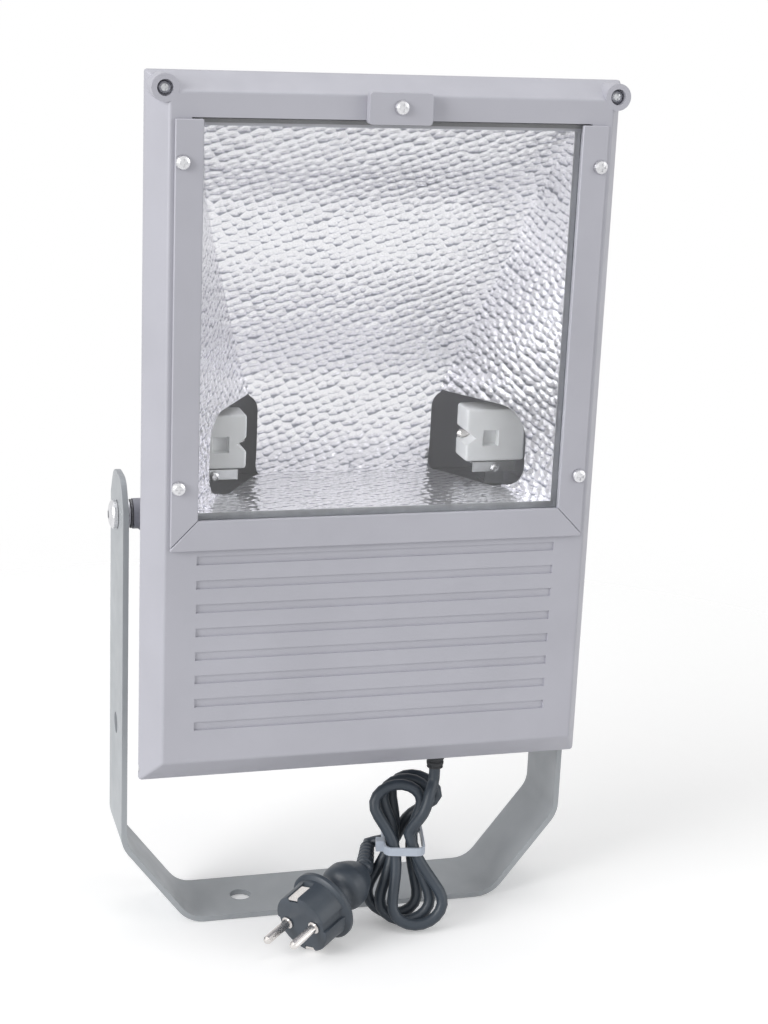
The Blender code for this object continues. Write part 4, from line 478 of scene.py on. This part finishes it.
MATERIALS = {
    "silver_paint": paint("silver_paint", (0.465, 0.465, 0.515), 0.2, 0.52, mottling=0.035),
    "grey_paint": paint("grey_paint", (0.37, 0.39, 0.41), 0.2, 0.46, mottling=0.07),
    "zinc": bare_metal("zinc", (0.74, 0.74, 0.76), 0.28),
    "dark_steel": bare_metal("dark_steel", (0.20, 0.20, 0.21), 0.42),
    "hammered": hammered_sheet(),
    "bare_sheet": bare_metal("bare_sheet", (0.64, 0.65, 0.67), 0.38, (1.0, 1.0, 0.08)),
    "glass": clear_glass(),
    "ceramic": moulded("ceramic", (0.93, 0.94, 0.95), 0.45, patch=0.012, contrast=0.04),
    "black_rubber": moulded("black_rubber", (0.030, 0.032, 0.036), 0.6),
    "grey_rubber": moulded("grey_rubber", (0.18, 0.18, 0.19), 0.75),
    "cord": moulded("cord", (0.038, 0.050, 0.066), 0.42, grain=0.0005, depth=0.00003),
    "plug": moulded("plug", (0.044, 0.056, 0.072), 0.42, grain=0.0005),
    "tie": moulded("tie", (0.47, 0.52, 0.60), 0.38, contrast=0.05),
    "laminations": laminations(),
    "copper": winding(),
    "pale_plastic": moulded("pale_plastic", (0.68, 0.68, 0.64), 0.45, contrast=0.06),
    "nickel": bare_metal("nickel", (0.78, 0.75, 0.73), 0.2),
}
WORN_ZINC = bare_metal("worn_zinc", (0.60, 0.61, 0.63), 0.34)


def dress_nodes():
    """Give every solid the material of its slot, and a few the shade that the photograph shows."""
    for entry in frame["record"]["subparts"]:
        item = NODES[entry["node"]]
        item.data.materials.clear()
        item.data.materials.append(MATERIALS[entry["material_slot"]])
    for name in ("cover_screw_left", "cover_screw_right", "lock_washer_left", "lock_washer_right"):
        NODES[name].data.materials[0] = WORN_ZINC
    NODES["glass_gasket"].data.materials[0] = MATERIALS["grey_rubber"]


def polish(name, width):
    """Round a solid's sharp edges a little and even out its shading."""
    item = NODES[name]
    normals = item.data.attributes.get("custom_normal")
    if normals is not None:
        item.data.attributes.remove(normals)
    item.data.shade_smooth()
    weld = item.modifiers.new("weld", "WELD")
    weld.merge_threshold = WELD_DISTANCE
    flat = item.modifiers.new("flat", "DECIMATE")
    flat.decimate_type = "DISSOLVE"
    flat.angle_limit = FLAT_ANGLE
    edge = item.modifiers.new("edge", "BEVEL")
    edge.width = width
    edge.segments = 2
    edge.limit_method = "ANGLE"
    edge.angle_limit = SHARP_ANGLE
    even = item.modifiers.new("even", "WEIGHTED_NORMAL")
    even.keep_sharp = True


def show(item, body, slot, *nodes):
    """Finish a new piece: its material, the body it rides on and the solids it stands for."""
    item.data.materials.clear()
    item.data.materials.append(MATERIALS[slot])
    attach(item, body)
    if nodes:
        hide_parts(*nodes)
    return item


# Cords

def ease(value):
    value = min(1.0, max(0.0, value))
    return value * value * (3 - 2 * value)


def hank_axes():
    across = np.array([math.cos(HANK_TURN), -math.sin(HANK_TURN), 0.0])
    forward = np.array([-math.sin(HANK_TURN), -math.cos(HANK_TURN), 0.0])
    along = -forward * math.sin(HANK_LEAN) + np.array([0.0, 0.0, math.cos(HANK_LEAN)])
    return across, along, forward


def loop_point(share):
    """One round of a loop, as (across, along), from the right of the tie down and round."""
    radius = HANK_FOLD_RADIUS
    low = HANK_FALL - radius
    high = HANK_RISE - radius
    fold = math.pi * radius
    run = share * (2 * (low + high) + 2 * fold)
    if run < low:
        point = (radius, -run)
    elif run < low + fold:
        turn = (run - low) / radius
        point = (radius * math.cos(turn), -low - radius * math.sin(turn))
    elif run < 2 * low + high + fold:
        point = (-radius, run - 2 * low - fold)
    elif run < 2 * low + high + 2 * fold:
        turn = (run - 2 * low - high - fold) / radius
        point = (-radius * math.cos(turn), high + radius * math.sin(turn))
    else:
        point = (radius, 2 * (low + high + fold) - run)
    reach = high + radius if point[1] > 0 else low + radius
    share_up = min(1.0, abs(point[1]) / reach)
    draw = (1 - HANK_WAIST_HALF / radius) * math.cos(math.pi / 2 * share_up) ** 2
    return point[0] * (1 - draw), point[1]


def hank_points():
    across, along, forward = hank_axes()
    height = HANK_FALL * math.cos(HANK_LEAN) + CORD_DIAMETER / 2 + FLOOR_CLEARANCE
    middle = np.array([*HANK_WAIST, height])
    climb = 1 - HANK_CLIMB_START
    points = []
    for index in range(HANK_LOOPS * HANK_POINTS_PER_LOOP + 1):
        turns = index / HANK_POINTS_PER_LOOP
        u, w = loop_point(turns % 1.0)
        layer = sum(ease((turns - count - HANK_CLIMB_START) / climb) for count in range(HANK_LOOPS))
        leave = ease((turns - HANK_LOOPS + HANK_EXIT_SHARE) / HANK_EXIT_SHARE)
        u = u * (1 - leave) + HANK_EXIT * leave
        fan = HANK_FAN * (HANK_LOOPS / 2 - turns)
        u, w = u * math.cos(fan) - w * math.sin(fan), u * math.sin(fan) + w * math.cos(fan)
        depth = HANK_STEP * (HANK_LOOPS / 2 - layer)
        points.append(middle + across * u + along * w + forward * depth)
    return np.array(points)


def smooth_path(route, spacing):
    """Points at about equal spacing on a smooth curve through the route, with straight ends."""
    knots = [np.array(point, float) for point in route]
    dense = []
    for before, start, end, after in zip(knots, knots[1:], knots[2:], knots[3:]):
        for step in range(CURVE_STEPS):
            t = step / CURVE_STEPS
            dense.append(0.5 * (2 * start + (end - before) * t
                                + (2 * before - 5 * start + 4 * end - after) * t ** 2
                                + (3 * start - before - 3 * end + after) * t ** 3))
    dense.append(knots[-2])
    dense = np.array(dense)
    run = np.concatenate(([0.0], np.cumsum(np.linalg.norm(np.diff(dense, axis=0), axis=1))))
    marks = np.linspace(0.0, run[-1], max(3, round(run[-1] / spacing) + 1))
    middle = np.stack([np.interp(marks, run, dense[:, axis]) for axis in range(3)], axis=1)
    return np.concatenate(([knots[0]], middle, [knots[-1]]))


def unit(vector):
    return vector / np.linalg.norm(vector)


def plug_relief_path(steps=7):
    """Centre line of the plug's strain relief, from the grip to its tip."""
    centre = np.array(PLUG_FLANGE_CENTRE)
    forward = unit(np.array(PLUG_DIRECTION))
    root = centre - forward * (PLUG_FLANGE_THICKNESS + PLUG_GRIP_LENGTH + GAP)
    start = root - forward * PLUG_RELIEF_ROOT_RADIUS * PLUG_RELIEF_START
    tip = np.array(PLUG_RELIEF_END)
    handle = start - forward * np.linalg.norm(tip - start) * PLUG_RELIEF_BEND
    curve = [(1 - t) ** 2 * start + 2 * t * (1 - t) * handle + t ** 2 * tip
             for t in np.linspace(0.0, 1.0, steps)]
    return np.array([root] + curve)


def tube(name, points, diameter, radii=None, resolution=CORD_RESOLUTION):
    """Round tube along the points; radii are shares of its own radius."""
    curve = bpy.data.curves.new(name, "CURVE")
    curve.dimensions = "3D"
    curve.bevel_depth = diameter / 2
    curve.bevel_resolution = resolution
    curve.use_fill_caps = True
    spline = curve.splines.new("POLY")
    spline.points.add(len(points) - 1)
    for index, (point, place) in enumerate(zip(spline.points, points)):
        point.co = (*place, 1.0)
        point.radius = 1.0 if radii is None else radii[index]
    spline.use_smooth = True
    return link(bpy.data.objects.new(name, curve))


def tube_mesh(item):
    """The same tube as a mesh."""
    bpy.context.view_layer.update()
    graph = bpy.context.evaluated_depsgraph_get()
    mesh = bpy.data.meshes.new_from_object(item.evaluated_get(graph))
    name = item.name
    bpy.data.objects.remove(item, do_unlink=True)
    mesh.shade_smooth()
    return link(bpy.data.objects.new(name, mesh))


def make_cords():
    points = hank_points()
    into = unit(points[0] - points[1])
    out = unit(points[-1] - points[-2])
    relief = plug_relief_path()
    arrive = unit(relief[-2] - relief[-1])
    target = np.array(PLUG_RELIEF_END)
    tail = smooth_path([points[-1], points[-1] + out * TAIL_STRAIGHT,
                        target - arrive * TAIL_STRAIGHT, target], CORD_DIAMETER / 2)
    route = np.concatenate((points, tail[1:], [target + arrive * TAIL_INSIDE]))
    cord = tube("mains_cord", route, CORD_DIAMETER)
    show(cord, "yoke", "cord", "cord_hank", "cord_tail")

    x, y = GLAND_PLACE
    top = np.array((x, y, LEAD_FOOT + LEAD_INSIDE))
    foot = np.array((x, y, LEAD_FOOT - CORD_DIAMETER))
    lead_route = smooth_path([top, foot, *LEAD_ROUTE, points[0] + into * CORD_DIAMETER,
                              points[0] - into * JOINT_OVERLAP], CORD_DIAMETER / 2)
    lead = tube_mesh(tube("mains_lead", lead_route, CORD_DIAMETER))
    lead.data.materials.append(MATERIALS["cord"])
    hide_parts("cord_lead")
    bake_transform(lead)


# Pieces in mesh code

def new_item(name, bm):
    mesh = bpy.data.meshes.new(name)
    bmesh.ops.recalc_face_normals(bm, faces=bm.faces)
    bm.to_mesh(mesh)
    bm.free()
    return link(bpy.data.objects.new(name, mesh))


def baked(item):
    """The same piece with its modifiers applied and its shading smooth between sharp edges."""
    bpy.context.view_layer.update()
    graph = bpy.context.evaluated_depsgraph_get()
    mesh = bpy.data.meshes.new_from_object(item.evaluated_get(graph))
    name = item.name
    bpy.data.objects.remove(item, do_unlink=True)
    mesh.name = name
    mesh.shade_smooth()
    mesh.set_sharp_from_angle(angle=math.radians(30))
    return link(bpy.data.objects.new(name, mesh))


def cut(item, *cutters):
    """Take cutters out of a piece, then drop them."""
    for cutter in cutters:
        change = item.modifiers.new("cut", "BOOLEAN")
        change.operation = "DIFFERENCE"
        change.solver = "EXACT"
        change.object = cutter
    result = baked(item)
    for cutter in cutters:
        bpy.data.objects.remove(cutter, do_unlink=True)
    return result


def rounded(corners, radii):
    """Outline with each corner rounded to its own radius."""
    outline = []
    for index, (corner, size) in enumerate(zip(corners, radii)):
        here = Vector(corner)
        if size <= 0:
            outline.append(tuple(here))
            continue
        back = (Vector(corners[index - 1]) - here).normalized()
        ahead = (Vector(corners[(index + 1) % len(corners)]) - here).normalized()
        half_angle = back.angle(ahead) / 2
        centre = here + (back + ahead).normalized() * (size / math.sin(half_angle))
        first = here + back * (size / math.tan(half_angle)) - centre
        last = here + ahead * (size / math.tan(half_angle)) - centre
        sweep = math.atan2(first.x * last.y - first.y * last.x, first.dot(last))
        for step in range(CORNER_STEPS + 1):
            outline.append(tuple(centre + Matrix.Rotation(sweep * step / CORNER_STEPS, 2) @ first))
    return outline


def prism(name, outline, low, high, axis):
    """Solid between two levels of an axis; the outline gives the other two axes in order."""
    bm = bmesh.new()
    rings = []
    for level in (low, high):
        ring = []
        for first, second in outline:
            place = [first, second]
            place.insert(axis, level)
            ring.append(bm.verts.new(place))
        rings.append(ring)
        bm.faces.new(ring)
    count = len(outline)
    for index in range(count):
        after = (index + 1) % count
        bm.faces.new((rings[0][index], rings[0][after], rings[1][after], rings[1][index]))
    return new_item(name, bm)


# Reflectors

def side_cutter(sign):
    """Rounded opening for a lamp socket through a side sheet."""
    outline = rounded([(CUTOUT_FRONT, CUTOUT_FOOT), (NOTCH_FRONT, CUTOUT_FOOT), (NOTCH_FRONT, CUTOUT_LOW),
                       (CUTOUT_BACK, CUTOUT_LOW), (CUTOUT_BACK, CUTOUT_HIGH), (CUTOUT_FRONT, CUTOUT_HIGH)],
                      [CUTOUT_FOOT_RADIUS, 0, 0, 0, 0, CUTOUT_HIGH_RADIUS])
    low, high = sorted(sign * reach for reach in CUTOUT_SIDE)
    return prism("side_cut", outline, low, high, 0)


def main_cutters(sign):
    """The same opening's share of the main sheet's wall and floor."""
    inner = REFLECTOR_LINE[NOTCH_ROW][2] - NOTCH_REACH
    lower_radius, upper_radius = NOTCH_RADII
    back = rounded([(inner, CUTOUT_LOW), (NOTCH_SIDE, CUTOUT_LOW), (NOTCH_SIDE, CUTOUT_HIGH),
                    (inner, CUTOUT_HIGH)], [lower_radius, 0, 0, upper_radius])
    if sign < 0:
        back = [(-x, z) for x, z in reversed(back)]
    share = (NOTCH_FRONT - MOUTH_Y) / (FLOOR_BACK[0] - MOUTH_Y)
    front_half = MOUTH_HALF + (FLOOR_BACK[2] - MOUTH_HALF) * share
    outer = front_half + FLOOR_NOTCH_SPARE
    floor = rounded([(inner, CUTOUT_BACK), (inner, FLOOR_BACK[0] - FLOOR_NOTCH_BACK),
                     (front_half - NOTCH_REACH, NOTCH_FRONT), (outer, NOTCH_FRONT),
                     (outer, CUTOUT_BACK)], [0, *FLOOR_NOTCH_RADII, 0, 0])
    if sign < 0:
        floor = [(-x, y) for x, y in reversed(floor)]
    wall_cutter = prism("back_cut", back, *NOTCH_DEPTH, 1)
    return wall_cutter, prism("floor_cut", floor, CUTOUT_LOW, NOTCH_TOP, 2)


def line_rows():
    """The reflector's line, smoothed and stepped."""
    knots = [np.array(knot) for knot in REFLECTOR_LINE]
    before = 2 * knots[0] - knots[1]
    after = 2 * knots[-1] - knots[-2]
    return smooth_path([before, *knots, after], SHEET_STEP)[1:-1]


def floor_height(y):
    return FLOOR_FRONT_Z + (FLOOR_BACK[1] - FLOOR_FRONT_Z) * (y - MOUTH_Y) / (FLOOR_BACK[0] - MOUTH_Y)


def sheet_item(name, rows, inward):
    """Sheet through rows of points, bright side inward, with its thickness behind."""
    bm = bmesh.new()
    lines = [[bm.verts.new(point) for point in row] for row in rows]
    for upper, lower in zip(lines, lines[1:]):
        for index in range(len(upper) - 1):
            bm.faces.new((upper[index], upper[index + 1], lower[index + 1], lower[index]))
    bmesh.ops.recalc_face_normals(bm, faces=bm.faces)
    bm.faces.ensure_lookup_table()
    if bm.faces[len(bm.faces) // 2].normal.dot(Vector(inward)) < 0:
        bmesh.ops.reverse_faces(bm, faces=bm.faces)
    mesh = bpy.data.meshes.new(name)
    bm.to_mesh(mesh)
    bm.free()
    item = link(bpy.data.objects.new(name, mesh))
    shell = item.modifiers.new("shell", "SOLIDIFY")
    shell.thickness = SHEET_THICKNESS
    shell.offset = -1.0
    shell.use_even_offset = True
    return item


def lay_out(item, flat_place):
    """Store where each point lies on the flat sheet, for the pebbles to follow."""
    mesh = item.data
    places = np.empty(len(mesh.vertices) * 3)
    mesh.vertices.foreach_get("co", places)
    flat = flat_place(places.reshape(-1, 3))
    layer = mesh.attributes.new("sheet", "FLOAT_VECTOR", "POINT")
    layer.data.foreach_set("vector", np.ascontiguousarray(flat, dtype=np.float32).ravel())


def make_reflectors():
    rows = line_rows()
    floor_rows = np.linspace(FLOOR_BACK, (MOUTH_Y, FLOOR_FRONT_Z, MOUTH_HALF), FLOOR_ROWS)
    profile = np.concatenate((rows, floor_rows))
    run = np.concatenate(([0.0], np.cumsum(np.linalg.norm(np.diff(profile[:, :2], axis=0), axis=1))))

    def main_flat(places):
        gaps = places[:, None, 1:3] - profile[None, :, :2]
        nearest = np.argmin(np.sum(gaps ** 2, axis=2), axis=1)
        along = np.gradient(profile[:, :2], axis=0)
        along /= np.linalg.norm(along, axis=1)[:, None]
        extra = np.sum(gaps[np.arange(len(places)), nearest] * along[nearest], axis=1)
        return np.stack((places[:, 0], -(run[nearest] + extra), np.zeros(len(places))), axis=1)

    main = sheet_item("reflector_main", [[(x, y, z) for x in np.linspace(-half, half, MAIN_COLUMNS)]
                                         for y, z, half in profile], (0, -1, 0))
    cutters = []
    for sign in (-1, 1):
        cutters += main_cutters(sign)
    main = cut(main, *cutters)
    lay_out(main, main_flat)
    show(main, "head", "hammered", "main_reflector")

    def side_flat(places):
        across = np.hypot(MOUTH_HALF - np.abs(places[:, 0]), places[:, 1] - MOUTH_Y)
        return np.stack((across, places[:, 2], np.zeros(len(places))), axis=1)

    for name, sign in (("left", -1), ("right", 1)):
        side_rows = []
        shares = np.linspace(0.0, 1.0, SIDE_COLUMNS)
        for y, z, half in rows:
            side_rows.append([(sign * (MOUTH_HALF + (half - MOUTH_HALF) * share),
                               MOUTH_Y + (y - MOUTH_Y) * share, z) for share in shares])
        side_rows.append([(x, y, floor_height(y)) for x, y, z in side_rows[-1]])
        side = sheet_item("reflector_" + name, side_rows, (-sign, -1, 0))
        side = cut(side, side_cutter(sign))
        lay_out(side, side_flat)
        show(side, "head", "hammered", name + "_side_reflector")


def make_mouth_rim():
    """Flat flange round the reflector's mouth, which closes the view past the sheets."""
    outer = [(-RIM_HALF, RIM_LOW), (RIM_HALF, RIM_LOW), (RIM_HALF, RIM_HIGH), (-RIM_HALF, RIM_HIGH)]
    inner = [(-MOUTH_HALF, FLOOR_FRONT_Z), (MOUTH_HALF, FLOOR_FRONT_Z), (MOUTH_HALF, MOUTH_TOP),
             (-MOUTH_HALF, MOUTH_TOP)]
    bm = bmesh.new()
    rings = []
    for y in (MOUTH_Y - RIM_THICKNESS, MOUTH_Y - RIM_CLEARANCE):
        for outline in (outer, inner):
            rings.append([bm.verts.new((x, y, z)) for x, z in outline])
    front_outer, front_inner, back_outer, back_inner = rings
    for first, second in ((front_outer, front_inner), (back_outer, back_inner),
                          (front_outer, back_outer), (front_inner, back_inner)):
        for index in range(4):
            after = (index + 1) % 4
            bm.faces.new((first[index], first[after], second[after], second[index]))
    rim = new_item("reflector_rim", bm)
    show(rim, "head", "bare_sheet")


# Plug and strain reliefs

def plug_matrix():
    forward = Vector(PLUG_DIRECTION).normalized()
    across = Vector(PIN_DIRECTION)
    across = (across - forward * across.dot(forward)).normalized()
    up = forward.cross(across)
    matrix = Matrix((across, up, forward)).transposed().to_4x4()
    matrix.translation = PLUG_FLANGE_CENTRE
    return matrix


def plug_profile():
    """Turned outline of the plug from the middle of its face to its rear, as (radius, height)."""
    face = PLUG_FACE_REACH
    rim = PLUG_FACE_RADIUS
    flange = PLUG_FLANGE_RADIUS
    back = -PLUG_FLANGE_THICKNESS
    end = back - PLUG_GRIP_LENGTH
    outline = [(0.0, face), (rim * 0.5, face), (rim - 0.0012, face), (rim - 0.0003, face - 0.0003),
               (rim, face - 0.0012), (rim, face - EARTH_SLOT_LENGTH), (rim + 0.0002, GUIDE_START),
               (rim + 0.0004, 0.0008), (flange - 0.0006, 0.0), (flange, -0.0007), (flange, back + 0.0008),
               (flange - 0.0007, back), (0.0108, back - 0.0005)]
    grip = [(0.0106, 0.0), (0.0104, 0.06), (0.0096, 0.20), (0.0098, 0.30), (0.0118, 0.38), (0.0129, 0.46),
            (0.0130, 0.58), (0.0128, 0.68), (0.0116, 0.78), (0.0102, 0.88), (0.0086, 0.97), (0.0079, 1.0)]
    start = back - 0.001
    length = start - end
    knots = [np.array((radius, start - length * share, 0.0)) for radius, share in grip]
    ends = [2 * knots[0] - knots[1], *knots, 2 * knots[-1] - knots[-2]]
    curve = smooth_path(ends, PLUG_GRIP_STEP)[1:-1]
    return outline + [(point[0], point[1]) for point in curve] + [(0.0, end)]


def plug_angles():
    """Angles round the plug, with a close pair at each side of every groove."""
    angles = list(np.radians(np.arange(0, 360, PLUG_SIDE_STEP)))
    for middle, half in ((0, GUIDE_HALF), (180, GUIDE_HALF), (90, EARTH_SLOT_HALF), (270, EARTH_SLOT_HALF)):
        spread_angle = math.asin(half / PLUG_FACE_RADIUS)
        for side in (-1, 1):
            border = math.radians(middle) + side * spread_angle
            angles += [border - GROOVE_EDGE, border + GROOVE_EDGE]
    return sorted(angle % (2 * math.pi) for angle in angles)


def groove_depth(angle, height):
    """How far the plug's side is let in for its earth clips and guide grooves."""
    if height < GUIDE_START - NEAR:
        return 0.0
    across = abs(math.sin(angle)) * PLUG_FACE_RADIUS
    aside = abs(math.cos(angle)) * PLUG_FACE_RADIUS
    if across < GUIDE_HALF:
        return GUIDE_DEPTH
    if aside < EARTH_SLOT_HALF and height > PLUG_FACE_REACH - EARTH_SLOT_LENGTH - NEAR:
        return EARTH_SLOT_DEPTH
    return 0.0


def make_plug():
    angles = plug_angles()
    bm = bmesh.new()
    rings = []
    for radius, height in plug_profile():
        if radius == 0.0:
            rings.append([bm.verts.new((0.0, 0.0, height))])
            continue
        ring = []
        deepest = max(0.0, radius - (PLUG_FACE_RADIUS - EARTH_SLOT_DEPTH))
        for angle in angles:
            inner = radius - min(groove_depth(angle, height), deepest)
            ring.append(bm.verts.new((inner * math.cos(angle), inner * math.sin(angle), height)))
        rings.append(ring)
    count = len(angles)
    for upper, lower in zip(rings, rings[1:]):
        for index in range(count):
            after = (index + 1) % count
            if len(upper) == 1:
                bm.faces.new((upper[0], lower[index], lower[after]))
            elif len(lower) == 1:
                bm.faces.new((upper[index], lower[0], upper[after]))
            else:
                bm.faces.new((upper[index], lower[index], lower[after], upper[after]))
    bmesh.ops.remove_doubles(bm, verts=bm.verts, dist=MERGE_DISTANCE)
    plug = new_item("plug", bm)
    matrix = plug_matrix()
    bores = []
    for sign in (-1, 1):
        circle = [(sign * PIN_SPACING / 2 + PIN_BORE / 2 * math.cos(turn), PIN_BORE / 2 * math.sin(turn))
                  for turn in np.linspace(0, 2 * math.pi, BORE_SIDES, endpoint=False)]
        bores.append(prism("pin_bore", circle, PLUG_FACE_REACH - PIN_ROOT - GAP,
                           PLUG_FACE_REACH + BORE_SPARE, 2))
    plug = cut(plug, *bores)
    plug.data.transform(matrix)
    return show(plug, "yoke", "plug", "plug_body")


def sleeve(name, path, start_radius, end_radius, ribs):
    """Tapered flexible sleeve with rings round it, along a path."""
    ends = [2 * path[0] - path[1], *path, 2 * path[-1] - path[-2]]
    fine = smooth_path(ends, SLEEVE_STEP)[1:-1]
    radii = []
    for index in range(len(fine)):
        share = index / (len(fine) - 1)
        radius = start_radius + (end_radius - start_radius) * share
        phase = (share * ribs) % 1.0
        groove = 0.0
        if phase >= RING_START and share <= LAST_RING:
            groove = math.sin(math.pi * (phase - RING_START) / (1 - RING_START))
        radii.append((radius - RING_DEPTH * groove) / start_radius)
    return tube(name, fine, 2 * start_radius, radii, SLEEVE_RESOLUTION)


def make_sleeves():
    path = plug_relief_path(12)
    plug_sleeve = sleeve("plug_sleeve", path, PLUG_RELIEF_ROOT_RADIUS, PLUG_RELIEF_TIP_RADIUS,
                         PLUG_RELIEF_RIBS)
    show(plug_sleeve, "yoke", "plug", "plug_strain_relief")
    x, y = GLAND_PLACE
    path = [np.array((x, y, z)) for z in np.linspace(RELIEF_TOP, RELIEF_FOOT, 6)]
    exit_sleeve = sleeve("exit_sleeve", path, RELIEF_TOP_RADIUS, RELIEF_FOOT_RADIUS, RELIEF_RIBS)
    show(exit_sleeve, "head", "black_rubber", "strain_relief")
    return plug_sleeve


# Light and surroundings

def area_light(name, place, size, power):
    light = bpy.data.lights.new(name, "AREA")
    light.shape = "RECTANGLE"
    light.size = size
    light.size_y = size
    light.energy = power
    lamp = link(bpy.data.objects.new(name, light))
    lamp.location = place
    lamp.rotation_mode = "QUATERNION"
    lamp.rotation_quaternion = (Vector(LIGHT_TARGET) - Vector(place)).to_track_quat("-Z", "Y")


def seen_factor(tree):
    """1 where the camera sees a surface, straight or in metal and glass, and 0 as a light."""
    path = tree.nodes.new("ShaderNodeLightPath")
    seen = path.outputs["Is Camera Ray"]
    for name in ("Is Glossy Ray", "Is Transmission Ray"):
        either = tree.nodes.new("ShaderNodeMath")
        either.operation = "MAXIMUM"
        tree.links.new(seen, either.inputs[0])
        tree.links.new(path.outputs[name], either.inputs[1])
        seen = either.outputs[0]
    return seen


def make_world():
    """White to the camera and in reflections, softer as a light."""
    world = bpy.data.worlds.new("studio")
    bpy.context.scene.world = world
    world.use_nodes = True
    tree = world.node_tree
    background = tree.nodes["Background"]
    background.inputs["Color"].default_value = (1.0, 1.0, 1.0, 1.0)
    tree.links.new(spread(tree, seen_factor(tree), AMBIENT, 1.0), background.inputs["Strength"])


def make_floor():
    """Pale floor that keeps the shadow, brighter to the camera, and fades into the white world."""
    bm = bmesh.new()
    bmesh.ops.create_grid(bm, x_segments=1, y_segments=1, size=FLOOR_SIZE)
    mesh = bpy.data.meshes.new("floor")
    bm.to_mesh(mesh)
    bm.free()
    floor = link(bpy.data.objects.new("floor", mesh))
    floor.location.z = -FLOOR_DROP
    material, tree, shader = new_material("floor", (0.93, 0.93, 0.93), 0.0, 0.9)
    tree.links.new(ramp(tree, noise(tree, 0.8, 2.0), ((0.3, (0.92, 0.92, 0.92)), (0.7, (0.94, 0.94, 0.94)))),
                   shader.inputs["Base Color"])
    reach = tree.nodes.new("ShaderNodeVectorMath")
    reach.operation = "LENGTH"
    tree.links.new(place_vector(tree), reach.inputs[0])
    glow = tree.nodes.new("ShaderNodeEmission")
    tree.links.new(spread(tree, seen_factor(tree), 0.0, FLOOR_GLOW), glow.inputs["Strength"])
    lit = tree.nodes.new("ShaderNodeAddShader")
    tree.links.new(shader.outputs["BSDF"], lit.inputs[0])
    tree.links.new(glow.outputs["Emission"], lit.inputs[1])
    faded = tree.nodes.new("ShaderNodeBsdfTransparent")
    mix = tree.nodes.new("ShaderNodeMixShader")
    tree.links.new(spread(tree, reach.outputs["Value"], 0.0, 1.0, *FLOOR_FADE), mix.inputs["Fac"])
    tree.links.new(lit.outputs["Shader"], mix.inputs[1])
    tree.links.new(faded.outputs["BSDF"], mix.inputs[2])
    tree.links.new(mix.outputs["Shader"], tree.nodes["Material Output"].inputs["Surface"])
    floor.data.materials.append(material)


def make_lights():
    for name, (place, size, power) in LIGHTS.items():
        area_light(name, place, size, power)


def polish_nodes():
    for name in ("yoke", "left_stile", "right_stile", "bottom_rail", "top_clip"):
        polish(name, STRIP_EDGE)
    polish("front_cover", CASTING_EDGE)
    polish("housing", CASTING_EDGE)
    for side in ("left", "right"):
        for name in ("lampholder_", "socket_bracket_", "flat_washer_", "lock_washer_"):
            polish(name + side, SMALL_EDGE)


make_camera()
plug = make_plug()
plug_sleeve = make_sleeves()
make_cords()
make_reflectors()
make_mouth_rim()
dress_nodes()
polish_nodes()
make_world()
make_floor()
make_lights()

scene = bpy.context.scene
scene.view_settings.view_transform = "Standard"
